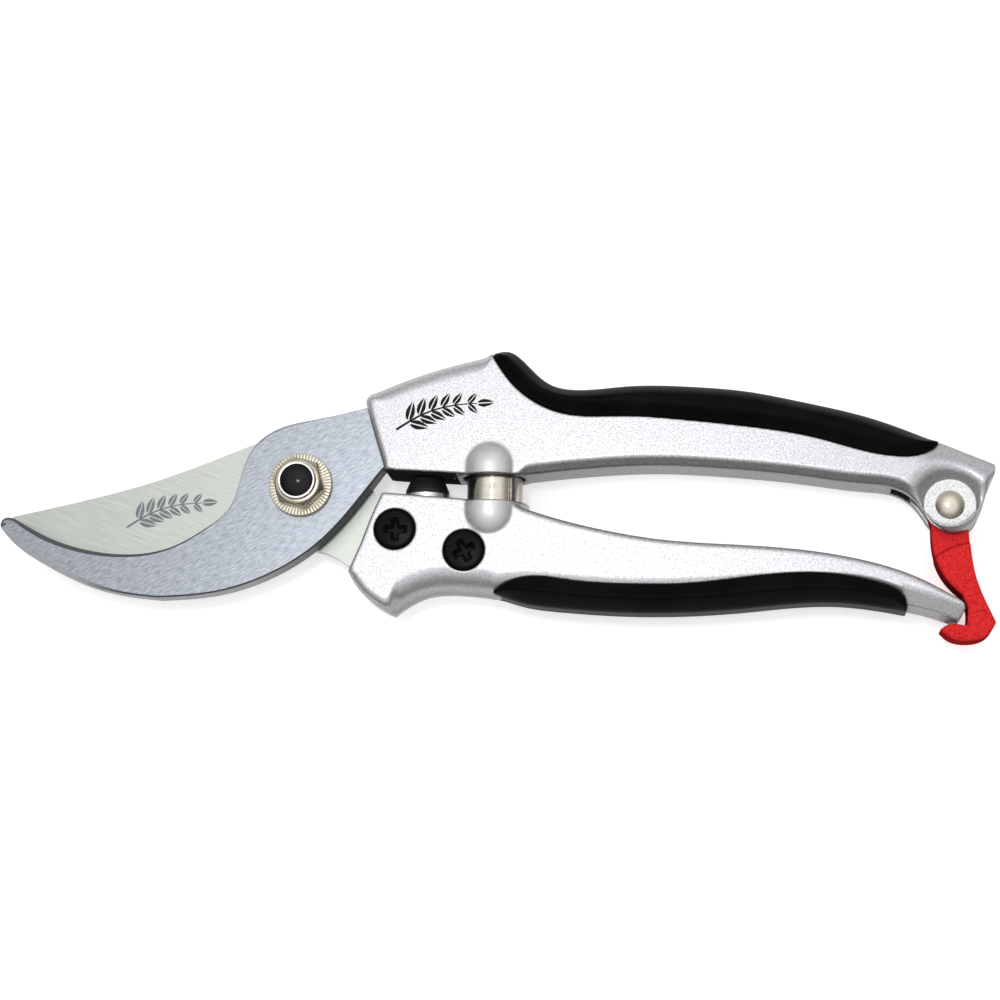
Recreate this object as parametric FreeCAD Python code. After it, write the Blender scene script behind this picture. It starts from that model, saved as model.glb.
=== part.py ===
import FreeCAD, Part
import math
import os

# Bypass pruner, closed and latched, lying on its rear side. Millimetres.
# Origin: pivot axis, on the rear face of the pivot bolt's head, where the tool rests.
# X runs from the pivot along the handles, Y is up from the lower to the upper handle,
# and Z runs from the rear side to the front side.

V = FreeCAD.Vector
UP = V(0, 0, 1)
TOUCHING = 1e-4             # shapes nearer than this meet

# ---- levels along Z ----
REAR = 1.7                  # rear face of both handle castings
FRONT = 14.3                # front face of both handle castings
MID = (REAR + FRONT) / 2
GRIP_TOP = 2 * MID          # the grips and spring sockets stand proud by REAR on both sides
BLADE_REAR = 4.0
BLADE_FRONT = 7.0
HOOK_REAR = 7.05            # a running gap of 0.05 between the two blades
HOOK_FRONT = 12.0
HOOK_BACK_CHAMFER = 0.6
BLADE_LAND = 0.35           # thickness left at the cutting edge
CAST_ROUND = 1.5            # rounding of the castings' front and rear edges
GRIP_ROUND = 3.0
GRIP_BED = 1.7              # depth of the beds that the grips' lips lie in

# ---- pivot ----
BOLT_HEAD_R = 6.6
BOLT_HEAD_H = 3.4
BOLT_HEAD_EDGE = 0.8
BOLT_R = 4.0
PIVOT_GAP = 0.05
THRUST_R = 6.4
WASHER_R = 6.7
WASHER_H = 1.5
WASHER_TEETH = 56
TOOTH_HALF = 0.2
TOOTH_DEPTH = 0.3
TEETH_INNER_R = 4.8
NUT_FLATS = 9.9
NUT_H = 3.6
NUT_TURN = 46.0
NUT_TOP_R = 4.9             # where the nut's flat top meets its 45 degree chamfer
COLLAR_R = 3.85
COLLAR_EDGE = 0.2
COLLAR_H = 1.0
BOLT_TIP_R = 3.4
BOLT_TIP_H = 1.0            # height of the domed tip above the collar

# ---- spring and its sockets ----
SPRING_X = 40.6
SPRING_R = 6.1
SOCKET_R = 6.6
BULGE_R = MID
BULGE_X = 40.1
UPPER_BULGE_Y = 3.9         # centre of the ball end of the upper socket
LOWER_BULGE_Y = -5.7
UPPER_MOUTH_Y = 2.0
LOWER_MOUTH_Y = -3.6
SOCKET_DEPTH = 6.0
SOCKET_MARGIN = 12.0        # the clear space in front of a socket's mouth
SPRING_HOLLOW_R = 3.2

# ---- rubber stop between the handles ----
STOP_X = 26.4
STOP_SEAT_Y = -2.6
STOP_TOP_Y = 2.0
STOP_BASE_R = 4.6
STOP_BASE_H = 0.9
STOP_TOP_R = 3.5
STOP_SEAT_R = 4.9
STOP_SEAT_H = 1.1
STOP_STEM_R = 1.6
STOP_STEM_LENGTH = 2.0
SEAT_OPENING = 10.0         # the seat's bore runs this far, out through the handle's edge

# ---- tang screws ----
SCREW_HEAD_R = 4.3
SCREW_HEAD_H = 2.4
SCREW_R = 2.4
SCREW_PROUD = 0.25
SCREW_EDGE = 0.45
SCREW_STOP = 0.6            # metal left behind a screw's tip
RECESS_ARM = 4.6
RECESS_WIDTH = 0.9
RECESS_DEPTH = 1.6
LOWER_SCREWS = [(20.5, -9.7, 0.0), (35.1, -14.1, 28.0)]
UPPER_SCREWS = [(22.5, 12.0, 10.0), (35.0, 17.5, -20.0)]

# ---- latch and its rivet at the end of the upper handle ----
LATCH_X = 135.1
LATCH_Y = -4.1
SLOT_REAR = 5.4
SLOT_FRONT = 10.6
SLOT_TOP_Y = 3.0
SLOT_START_X = 123.4
SLOT_REACH = 40.0           # the slot is open below and to the right
LATCH_GAP = 0.1
WAVE_H = 0.3
RECESS_R = 5.4
RECESS_MOUTH_R = 8.2
RECESS_FLOOR = 2.6          # depth of the round recess below the handle's face
RIVET_R = 2.0
RIVET_HEAD_R = 3.0
RIVET_HEAD_H = 1.2
LATCH_WASHER_R = 5.3
LATCH_WASHER_H = 0.5
WAVE_WASHER_R = 4.3
FACET_WIDTH = 5.0           # the sloped facets along the crown of the forked end
FACET_SLOPE = 22.0

# ---- outlines in the XY plane, as straight runs (2 points) and smooth curves (3 or more) ----
UPPER_LEFT = [(13.3, 18.1), (15.1, 11.8), (16.9, 6.2), (17.9, 3.0)]
UPPER_UNDER_FRONT = [(17.9, 3.0), (34.6, 2.1)]
UPPER_UNDER = [(46.3, 2.0), (54.4, 2.9), (62.5, 3.6), (75.6, 4.1), (88.0, 3.5), (104.6, 1.9), (118.0, 0.2),
               (124.6, -0.9), (128.2, -3.4), (131.2, -7.6), (135.6, -10.0), (140.1, -7.8), (142.1, -3.0), (144.4, 2.6)]
UPPER_BACK = [(144.4, 2.6), (144.5, 4.4)]
UPPER_CROWN = [(144.5, 4.4), (138.7, 6.8), (132.9, 9.2)]
UPPER_CORE = [(131.4, 7.4), (118.5, 11.9), (104.0, 15.5), (88.0, 18.1), (71.0, 19.0), (56.5, 18.3), (49.8, 21.0),
              (44.6, 24.8), (40.2, 28.2)]
UPPER_TOP = [(40.2, 28.2), (31.0, 25.9), (20.4, 22.4), (15.2, 20.2)]
UPPER_SHOULDER = [(15.2, 20.2), (13.9, 19.4), (13.3, 18.1)]
UPPER_GRIP_OUT = [(132.9, 9.2), (119.2, 14.5), (104.7, 18.1), (94.3, 20.2), (81.7, 21.4), (68.0, 21.5), (58.0, 20.8),
                  (53.0, 21.7), (47.0, 26.7), (43.2, 29.2), (40.2, 28.6)]
UPPER_GRIP_IN = [(40.2, 27.5), (44.5, 21.4), (49.4, 17.4), (55.2, 15.0), (67.3, 14.4), (80.0, 13.6), (94.3, 12.0),
                 (108.0, 9.6), (124.6, 5.7), (129.6, 6.3), (132.9, 8.6)]

LOWER_LEFT = [(10.8, -18.6), (13.6, -11.9), (15.5, -6.6), (17.6, -1.8)]
LOWER_OVER_FRONT = [(17.6, -1.8), (34.2, -3.1)]
LOWER_OVER = [(45.6, -4.5), (53.0, -6.9), (63.4, -9.5), (75.8, -11.6), (90.0, -12.6), (104.0, -13.6), (116.0, -15.5),
              (127.7, -19.1), (136.6, -23.8)]
LOWER_END = [(136.6, -23.8), (137.7, -25.2), (136.3, -28.2)]
LOWER_END_UNDER = [(136.3, -28.2), (131.0, -26.3), (126.2, -25.2)]
LOWER_CORE = [(126.2, -25.2), (119.5, -22.6), (110.7, -21.8), (98.0, -22.7), (84.0, -24.0), (67.3, -24.1),
              (54.8, -23.3), (47.0, -22.9), (41.2, -23.4)]
LOWER_UNDER = [(41.2, -23.4), (33.5, -22.7), (27.0, -23.3), (20.2, -27.2)]
LOWER_CHIN = [(20.2, -27.2), (16.8, -25.3), (12.9, -22.0), (10.8, -18.6)]
LOWER_GRIP_OUT = [(41.2, -23.6), (46.4, -24.7), (54.8, -25.8), (67.3, -26.6), (80.0, -26.6), (92.2, -25.8),
                  (103.0, -24.7), (112.0, -24.4), (126.2, -26.2)]
LOWER_GRIP_IN = [(41.2, -22.6), (43.9, -20.9), (48.4, -19.6), (57.0, -20.3), (70.0, -21.1), (82.0, -20.9),
                 (94.3, -19.5), (107.0, -18.6), (120.6, -20.7), (125.4, -23.4), (126.2, -25.2)]

HOOK_MOUTH = [(-61.8, -7.1), (-53.8, -11.3), (-45.0, -13.9), (-37.0, -14.7), (-27.7, -13.2), (-19.3, -8.5)]
HOOK_THROAT = [(-19.3, -8.5), (-15.2, -4.6), (-13.4, 0.6), (-10.1, 9.1), (-5.1, 12.6), (3.0, 14.5), (14.0, 17.0)]
HOOK_BACK = [(17.3, 3.6), (11.9, -3.7), (5.7, -10.8), (-4.8, -18.3), (-17.5, -22.8), (-30.0, -24.0)]
HOOK_BACK_TIP = [(-30.0, -24.0), (-42.5, -22.1), (-54.8, -16.9), (-62.4, -11.7), (-64.6, -9.3)]
HOOK_NOSE = [(-64.6, -9.3), (-65.0, -8.3), (-64.85, -7.4), (-64.1, -6.8), (-63.0, -6.75), (-61.8, -7.1)]
HOOK_TANG = [(14.0, 17.0), (40.0, 21.0), (41.0, 12.5), (24.0, 9.5), (17.3, 3.6)]

BLADE_TIP = (-64.4, -6.5)
BLADE_SPINE = [(-63.4, -5.7), (-44.7, -1.4), (-33.9, 1.6), (-15.7, 8.4), (-8.6, 11.3)]
BLADE_CROWN = [(-8.6, 11.3), (0.0, 12.4), (8.8, 8.8), (13.0, 2.2), (15.9, -1.3)]
BLADE_EDGE = [BLADE_TIP, (-60.5, -10.6), (-50.0, -15.7), (-38.0, -17.8), (-26.0, -16.0), (-15.5, -9.5)]
BLADE_HEEL = [(-15.5, -9.5), (-11.0, -11.0), (-4.0, -12.6), (2.2, -12.9), (6.8, -14.4), (9.6, -16.2)]
BLADE_TANG = [(15.9, -1.3), (25.0, -5.5), (31.0, -11.6), (42.0, -12.8), (42.5, -19.0), (9.6, -16.2)]
GRIND_LINE = [(-62.9, -6.1), (-58.6, -7.9), (-48.6, -11.2), (-37.6, -12.9), (-26.8, -11.6), (-17.5, -6.2)]

LATCH_BACK = [(138.9, -8.0), (139.3, -13.0), (140.3, -19.0), (142.6, -25.0), (144.1, -28.2)]
LATCH_TOE = [(144.1, -28.2), (142.4, -30.9), (138.3, -32.2), (134.4, -31.3), (132.8, -29.8)]
LATCH_LIP = [(132.8, -29.8), (133.9, -29.0), (138.1, -29.0)]
LATCH_THROAT = [(138.1, -29.0), (138.35, -27.0), (138.1, -24.6), (137.3, -23.0)]
LATCH_CHEEK = [(137.5, -22.9), (134.8, -20.3), (132.5, -16.6), (131.5, -12.6), (131.3, -8.0)]
PANEL_TOP = [(129.0, -18.6), (131.7, -15.2), (136.2, -12.6), (141.5, -11.4)]
PANEL_RISE = 1.2
LATCH_EYE_R = 4.4
LOWER_NOTCH_X = 133.2       # the notch under the lower handle's end, over the latch's lip
LOWER_NOTCH_Y = -26.9
NOTCH_REACH = 10.0          # the notch is open below and to the right


def edge(points):
    """A straight run through two points, or a smooth curve through more."""
    vectors = [V(x, y, 0) for x, y in points]
    if len(vectors) == 2:
        return Part.LineSegment(vectors[0], vectors[1]).toShape()
    curve = Part.BSplineCurve()
    curve.interpolate(vectors)
    return curve.toShape()


def straights(points):
    """The corners of a straight-sided stretch, as runs of two points."""
    return [list(pair) for pair in zip(points, points[1:])]


def outline(*runs):
    """A closed wire of runs in order, with short straight joints where two runs don't meet."""
    edges = []
    for number, run in enumerate(runs):
        edges.append(edge(run))
        following = runs[(number + 1) % len(runs)]
        if math.dist(run[-1], following[0]) > TOUCHING:
            edges.append(edge([run[-1], following[0]]))
    return Part.Wire(edges)


def prism(wire, low, high):
    face = Part.Face(wire)
    face.translate(V(0, 0, low))
    return face.extrude(V(0, 0, high - low))


def rod(radius, low, high, x=0.0, y=0.0):
    return Part.makeCylinder(radius, high - low, V(x, y, low), UP)


def ring(outer, inner, low, high, x=0.0, y=0.0):
    return rod(outer, low, high, x, y).cut(rod(inner, low, high, x, y))


def dome(radius, height, base, x=0.0, y=0.0):
    """The cap of a ball, of the radius and height given, on the plane z = base."""
    ball_r = (radius ** 2 + height ** 2) / (2 * height)
    ball = Part.makeSphere(ball_r, V(x, y, base + height - ball_r))
    return ball.common(rod(radius, base, base + height, x, y))


def rim(solid, level):
    """The edges of a solid that lie wholly in the plane z = level."""
    return [e for e in solid.Edges
            if abs(e.BoundBox.ZMin - level) < TOUCHING and abs(e.BoundBox.ZMax - level) < TOUCHING]


def passing(edges, x, y):
    """The edge whose middle lies nearest to the point (x, y)."""
    return min(edges, key=lambda e: math.dist((x, y), tuple(e.valueAt(sum(e.ParameterRange) / 2))[:2]))


def drill(body, screws):
    """Holes for the screws' shanks through a blade's tang."""
    for x, y, _ in screws:
        body = body.cut(rod(SCREW_R, 0, GRIP_TOP, x, y))
    return body


# ---- blades ----
def make_counter_blade():
    """The hooked lower jaw, with a chamfer round its nose and along its back."""
    runs = [HOOK_MOUTH, HOOK_THROAT, *straights(HOOK_TANG), HOOK_BACK, HOOK_BACK_TIP, HOOK_NOSE]
    body = prism(outline(*runs), HOOK_REAR, HOOK_FRONT)
    front = rim(body, HOOK_FRONT)
    back = [passing(front, *run[2]) for run in (HOOK_BACK, HOOK_BACK_TIP, HOOK_NOSE)]
    body = body.makeChamfer(HOOK_BACK_CHAMFER, back)
    return drill(body.cut(rod(BOLT_R, 0, FRONT)), UPPER_SCREWS)


def make_cutting_blade():
    """A flat blade ground from the rear to a fine edge along its belly."""
    body_runs = [BLADE_SPINE, BLADE_CROWN] + straights(BLADE_TANG)
    full = outline(*body_runs, BLADE_HEEL[::-1], BLADE_EDGE[::-1])
    heel = [GRIND_LINE[-1]] + BLADE_HEEL[1:]
    ground = outline(*body_runs, heel[::-1], GRIND_LINE[::-1])
    ground.translate(V(0, 0, BLADE_REAR))
    edge_level = full.copy()
    edge_level.translate(V(0, 0, BLADE_FRONT - BLADE_LAND))
    sloped = Part.makeLoft([ground, edge_level], True, True)
    body = sloped.fuse(prism(full, BLADE_FRONT - BLADE_LAND, BLADE_FRONT)).removeSplitter()
    return drill(body.cut(rod(BOLT_R + PIVOT_GAP, 0, FRONT)), LOWER_SCREWS)


# ---- spring sockets ----
def socket_bulge(mouth_y, ball_y):
    """The round boss over a spring socket: a barrel with a ball end."""
    direction = V(0, math.copysign(1, ball_y - mouth_y), 0)
    barrel = Part.makeCylinder(BULGE_R, abs(ball_y - mouth_y), V(BULGE_X, mouth_y, MID), direction)
    return barrel.fuse(Part.makeSphere(BULGE_R, V(BULGE_X, ball_y, MID)))


def socket_bore(mouth_y, side):
    """The blind bore that holds an end of the spring, open towards the other handle."""
    start = V(SPRING_X, mouth_y - side * SOCKET_MARGIN, MID)
    return Part.makeCylinder(SOCKET_R, SOCKET_MARGIN + SOCKET_DEPTH, start, V(0, side, 0))


def mouth_trim(mouth_y, side):
    """The space in front of a socket's mouth, which neither handle enters."""
    low_y = mouth_y - side * SOCKET_MARGIN if side > 0 else mouth_y
    return Part.makeBox(2 * BULGE_R, SOCKET_MARGIN, GRIP_TOP, V(BULGE_X - BULGE_R, low_y, 0))


# ---- tang screws ----
def cross_recess(x, y, angle, face):
    """A cruciform drive recess sunk on both sides of the plane z = face."""
    arms = []
    for turn in (0, 90):
        arm = Part.makeBox(RECESS_ARM, RECESS_WIDTH, 2 * RECESS_DEPTH,
                           V(x - RECESS_ARM / 2, y - RECESS_WIDTH / 2, face - RECESS_DEPTH))
        arm.rotate(V(x, y, 0), UP, angle + turn)
        arms.append(arm)
    return arms[0].fuse(arms[1])


def make_front_screw(x, y, angle):
    """A round-headed screw, driven from the front through a handle and its blade's tang."""
    top = FRONT + SCREW_PROUD
    head = rod(SCREW_HEAD_R, FRONT - SCREW_HEAD_H, top, x, y)
    head = head.makeFillet(SCREW_EDGE, rim(head, top))
    shank = rod(SCREW_R, REAR + SCREW_STOP, FRONT - SCREW_HEAD_H, x, y)
    return head.fuse(shank).cut(cross_recess(x, y, angle, top))


def front_screw_bore(x, y):
    head_bore = rod(SCREW_HEAD_R, FRONT - SCREW_HEAD_H, GRIP_TOP, x, y)
    return head_bore.fuse(rod(SCREW_R, REAR + SCREW_STOP, FRONT, x, y))


def flip(shape):
    """The same shape turned over to the rear side, about the plane z = MID."""
    return shape.mirror(V(0, 0, MID), UP)


# ---- handles ----
def crown_wedge():
    """The space in front of the sloped facet along the crown of the forked end."""
    start = V(*UPPER_CROWN[0], FRONT)
    along = (V(*UPPER_CROWN[-1], FRONT) - start).normalize()
    out = along.cross(UP)
    drop = UP * (2 * FACET_WIDTH * math.tan(math.radians(FACET_SLOPE)))
    crease = start - out * FACET_WIDTH - along * FACET_WIDTH
    far = crease + out * (2 * FACET_WIDTH)
    corners = [crease, far - drop, far + drop, crease + drop]
    return Part.Face(Part.makePolygon(corners + corners[:1])).extrude(along * (4 * FACET_WIDTH))


def soften(body, buried=None):
    """Rounds a casting's front and rear rims, but for the short edge that passes buried."""
    for level in (FRONT, REAR):
        edges = rim(body, level)
        if buried:
            hidden = passing(edges, *buried)
            edges = [e for e in edges if not e.isSame(hidden)]
        body = body.makeFillet(CAST_ROUND, edges)
    return body


def grip_pocket(wire):
    """The shallow beds, front and rear, that a grip's lips lie in."""
    return prism(wire, FRONT - GRIP_BED, GRIP_TOP).fuse(prism(wire, 0, REAR + GRIP_BED))


def make_upper_handle(tang, grip_wire):
    body = prism(outline(UPPER_LEFT, UPPER_UNDER_FRONT, UPPER_UNDER, UPPER_BACK, UPPER_CROWN,
                         UPPER_CORE, UPPER_TOP, UPPER_SHOULDER), REAR, FRONT)
    body = soften(body, buried=UPPER_CORE[0])
    body = body.cut(crown_wedge()).cut(flip(crown_wedge()))
    body = body.fuse(socket_bulge(UPPER_MOUTH_Y, UPPER_BULGE_Y))
    slot = Part.makeBox(SLOT_REACH, SLOT_REACH, SLOT_FRONT - SLOT_REAR,
                        V(SLOT_START_X, SLOT_TOP_Y - SLOT_REACH, SLOT_REAR))
    floor = V(LATCH_X, LATCH_Y, FRONT - RECESS_FLOOR)
    recess = Part.makeCone(RECESS_R, RECESS_MOUTH_R, RECESS_FLOOR, floor, UP)
    bores = recess.fuse(flip(recess)).fuse(rod(RIVET_R, 0, GRIP_TOP, LATCH_X, LATCH_Y))
    body = body.cut(mouth_trim(UPPER_MOUTH_Y, 1)).cut(socket_bore(UPPER_MOUTH_Y, 1))
    body = body.cut(grip_pocket(grip_wire)).cut(tang).cut(slot).cut(bores)
    for x, y, _ in UPPER_SCREWS:
        body = body.cut(flip(front_screw_bore(x, y)))
    return body


def make_lower_handle(tang, grip_wire):
    body = prism(outline(LOWER_LEFT, LOWER_OVER_FRONT, LOWER_OVER, LOWER_END, LOWER_END_UNDER,
                         LOWER_CORE, LOWER_UNDER, LOWER_CHIN), REAR, FRONT)
    body = soften(body)
    body = body.fuse(socket_bulge(LOWER_MOUTH_Y, LOWER_BULGE_Y))
    body = body.cut(mouth_trim(LOWER_MOUTH_Y, -1)).cut(socket_bore(LOWER_MOUTH_Y, -1))
    seat = Part.makeCylinder(STOP_SEAT_R, SEAT_OPENING, V(STOP_X, STOP_SEAT_Y, MID), V(0, 1, 0))
    stem = Part.makeCylinder(STOP_STEM_R, STOP_STEM_LENGTH, V(STOP_X, STOP_SEAT_Y, MID), V(0, -1, 0))
    body = body.cut(grip_pocket(grip_wire)).cut(tang).cut(seat).cut(stem)
    notch = Part.makeBox(NOTCH_REACH, NOTCH_REACH, SLOT_FRONT - SLOT_REAR + 2 * PANEL_RISE,
                         V(LOWER_NOTCH_X, LOWER_NOTCH_Y - NOTCH_REACH, SLOT_REAR - PANEL_RISE))
    body = body.cut(notch)
    for x, y, _ in LOWER_SCREWS:
        body = body.cut(front_screw_bore(x, y))
    return body


def make_grip(wire, x, y, casting):
    """A soft moulding that wraps a casting's outer edge and is rounded along it, near (x, y)."""
    block = prism(wire, 0, GRIP_TOP)
    outer = [passing(rim(block, level), x, y) for level in (0, GRIP_TOP)]
    block = block.makeFillet(GRIP_ROUND, outer)
    return block.cut(casting)


# ---- pivot ----
def make_pivot_bolt():
    head = rod(BOLT_HEAD_R, 0, BOLT_HEAD_H)
    head = head.makeFillet(BOLT_HEAD_EDGE, rim(head, 0))
    nut_top = HOOK_FRONT + WASHER_H + NUT_H + COLLAR_H
    tip = rod(BOLT_TIP_R, HOOK_FRONT, nut_top).fuse(dome(BOLT_TIP_R, BOLT_TIP_H, nut_top))
    return head.fuse(rod(BOLT_R, BOLT_HEAD_H, HOOK_FRONT)).fuse(tip)


def make_serrated_washer():
    """A washer with radial teeth on its front face, which lock the nut."""
    top = HOOK_FRONT + WASHER_H
    body = ring(WASHER_R, BOLT_TIP_R, HOOK_FRONT, top)
    cutters = []
    for number in range(WASHER_TEETH):
        corners = [V(TEETH_INNER_R, -TOOTH_HALF, top), V(TEETH_INNER_R, TOOTH_HALF, top),
                   V(TEETH_INNER_R, 0, top - TOOTH_DEPTH)]
        groove = Part.Face(Part.makePolygon(corners + corners[:1])).extrude(V(WASHER_R, 0, 0))
        groove.rotate(V(0, 0, 0), UP, 360 / WASHER_TEETH * number)
        cutters.append(groove)
    return body.cut(Part.makeCompound(cutters))


def make_pivot_nut():
    low = HOOK_FRONT + WASHER_H
    corner = NUT_FLATS / math.sqrt(3)
    points = []
    for number in range(7):
        angle = math.radians(NUT_TURN + 60 * number)
        points.append(V(corner * math.cos(angle), corner * math.sin(angle), low))
    hexagon = Part.Face(Part.makePolygon(points)).extrude(V(0, 0, NUT_H))
    cone = Part.makeCone(NUT_TOP_R + NUT_H, NUT_TOP_R, NUT_H, V(0, 0, low), UP)
    collar = rod(COLLAR_R, low + NUT_H, low + NUT_H + COLLAR_H)
    collar = collar.makeFillet(COLLAR_EDGE, rim(collar, low + NUT_H + COLLAR_H))
    return hexagon.common(cone).fuse(collar).cut(rod(BOLT_TIP_R, low, low + NUT_H + COLLAR_H))


# ---- stop, spring, latch ----
def make_stop_bumper():
    """A rubber stop turned about the Y axis, on its metal seat."""
    profile = [(0, STOP_SEAT_Y + STOP_SEAT_H), (STOP_BASE_R, STOP_SEAT_Y + STOP_SEAT_H),
               (STOP_BASE_R, STOP_SEAT_Y + STOP_SEAT_H + STOP_BASE_H), (STOP_TOP_R, STOP_TOP_Y), (0, STOP_TOP_Y)]
    points = [V(STOP_X + x, y, MID) for x, y in profile]
    face = Part.Face(Part.makePolygon(points + points[:1]))
    return face.revolve(V(STOP_X, 0, MID), V(0, 1, 0), 360)


def make_stop_seat():
    disc = Part.makeCylinder(STOP_SEAT_R, STOP_SEAT_H, V(STOP_X, STOP_SEAT_Y, MID), V(0, 1, 0))
    stem = Part.makeCylinder(STOP_STEM_R, STOP_STEM_LENGTH, V(STOP_X, STOP_SEAT_Y, MID), V(0, -1, 0))
    return disc.fuse(stem)


def make_volute_spring():
    """The closed outer shape of the coiled strip spring, with its hollow middle."""
    low = LOWER_MOUTH_Y - SOCKET_DEPTH
    length = UPPER_MOUTH_Y + SOCKET_DEPTH - low
    tube = Part.makeCylinder(SPRING_R, length, V(SPRING_X, low, MID), V(0, 1, 0))
    return tube.cut(Part.makeCylinder(SPRING_HOLLOW_R, length, V(SPRING_X, low, MID), V(0, 1, 0)))


def make_latch():
    """A flat hook hung on the rivet, thicker below the fork so that it fills the lower handle's end."""
    low = SLOT_REAR + WAVE_H + LATCH_GAP
    high = SLOT_FRONT - LATCH_GAP
    left = LATCH_X - LATCH_EYE_R
    right = LATCH_X + LATCH_EYE_R
    eye = [(left, LATCH_Y), (LATCH_X, LATCH_Y + LATCH_EYE_R), (right, LATCH_Y)]
    body = prism(outline(LATCH_BACK, LATCH_TOE, LATCH_LIP, LATCH_THROAT, LATCH_CHEEK, eye),
                 low - PANEL_RISE, high + PANEL_RISE)
    above = LATCH_Y + 2 * LATCH_EYE_R
    around = [PANEL_TOP[-1], (right + LATCH_EYE_R, above), (left - LATCH_EYE_R, above), PANEL_TOP[0]]
    shank_side = outline(PANEL_TOP, *straights(around))
    body = body.cut(prism(shank_side, high, GRIP_TOP)).cut(prism(shank_side, 0, low))
    return body.cut(rod(RIVET_R + PIVOT_GAP, 0, GRIP_TOP, LATCH_X, LATCH_Y))


def make_latch_rivet():
    top = FRONT - RECESS_FLOOR + LATCH_WASHER_H
    head = dome(RIVET_HEAD_R, RIVET_HEAD_H, top, LATCH_X, LATCH_Y)
    return head.fuse(flip(head)).fuse(rod(RIVET_R, 2 * MID - top, top, LATCH_X, LATCH_Y))


def make_latch_washer():
    floor = FRONT - RECESS_FLOOR
    return ring(LATCH_WASHER_R, RIVET_R, floor, floor + LATCH_WASHER_H, LATCH_X, LATCH_Y)


# ---- assembly ----
nodes = {}
nodes["counter_blade"] = make_counter_blade()
nodes["cutting_blade"] = make_cutting_blade()
upper_grip_wire = outline(UPPER_GRIP_OUT, UPPER_GRIP_IN)
lower_grip_wire = outline(LOWER_GRIP_OUT, LOWER_GRIP_IN[::-1])
nodes["upper_handle"] = make_upper_handle(nodes["counter_blade"], upper_grip_wire)
nodes["lower_handle"] = make_lower_handle(nodes["cutting_blade"], lower_grip_wire)
nodes["upper_grip"] = make_grip(upper_grip_wire, 85.0, 21.2, nodes["upper_handle"])
nodes["lower_grip"] = make_grip(lower_grip_wire, 85.0, -26.4, nodes["lower_handle"])
nodes["pivot_bolt"] = make_pivot_bolt()
nodes["thrust_washer"] = ring(THRUST_R, BOLT_R, BOLT_HEAD_H, BLADE_REAR - PIVOT_GAP)
nodes["serrated_washer"] = make_serrated_washer()
nodes["pivot_nut"] = make_pivot_nut()
for number, (x, y, angle) in enumerate(LOWER_SCREWS, 1):
    nodes[f"lower_tang_screw_{number}"] = make_front_screw(x, y, angle)
for number, (x, y, angle) in enumerate(UPPER_SCREWS, 1):
    nodes[f"upper_tang_screw_{number}"] = flip(make_front_screw(x, y, angle))
nodes["stop_bumper"] = make_stop_bumper()
nodes["stop_seat"] = make_stop_seat()
nodes["volute_spring"] = make_volute_spring()
nodes["latch"] = make_latch()
nodes["latch_rivet"] = make_latch_rivet()
nodes["latch_washer_front"] = make_latch_washer()
nodes["latch_washer_rear"] = flip(make_latch_washer())
nodes["latch_wave_washer"] = ring(WAVE_WASHER_R, RIVET_R, SLOT_REAR, SLOT_REAR + WAVE_H, LATCH_X, LATCH_Y)

os.makedirs("parts", exist_ok=True)
for name, shape in nodes.items():
    print(f"{name}: {len(shape.Solids)} solid, valid {shape.isValid()}, {shape.Volume:.1f} mm3")
    shape.exportStep(f"parts/{name}.step")
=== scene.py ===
import math

import bmesh
import bpy
import numpy as np
from mathutils import Matrix, Vector


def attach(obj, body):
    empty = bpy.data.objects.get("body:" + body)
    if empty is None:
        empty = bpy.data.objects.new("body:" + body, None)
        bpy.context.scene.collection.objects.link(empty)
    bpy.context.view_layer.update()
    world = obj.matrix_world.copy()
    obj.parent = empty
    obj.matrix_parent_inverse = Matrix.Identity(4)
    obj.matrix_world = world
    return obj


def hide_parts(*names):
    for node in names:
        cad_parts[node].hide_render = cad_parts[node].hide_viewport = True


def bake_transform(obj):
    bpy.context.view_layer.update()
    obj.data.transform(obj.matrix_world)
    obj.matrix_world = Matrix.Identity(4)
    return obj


# Bypass pruner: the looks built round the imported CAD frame. Shapes are worked out in millimetres
# and stored in metres. X runs along the handles, Y is up across them, Z points to the front.

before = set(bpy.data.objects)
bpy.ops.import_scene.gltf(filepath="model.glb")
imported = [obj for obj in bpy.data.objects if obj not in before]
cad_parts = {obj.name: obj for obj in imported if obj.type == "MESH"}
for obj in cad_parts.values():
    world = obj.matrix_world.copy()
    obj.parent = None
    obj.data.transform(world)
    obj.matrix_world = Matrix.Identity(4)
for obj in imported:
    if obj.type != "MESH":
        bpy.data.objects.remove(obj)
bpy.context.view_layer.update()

MM = 0.001
MID = 8.0                   # the plane between the front and the rear of both castings
CAST_HALF = 6.3             # half the castings' thickness
STEP = 0.3

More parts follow.
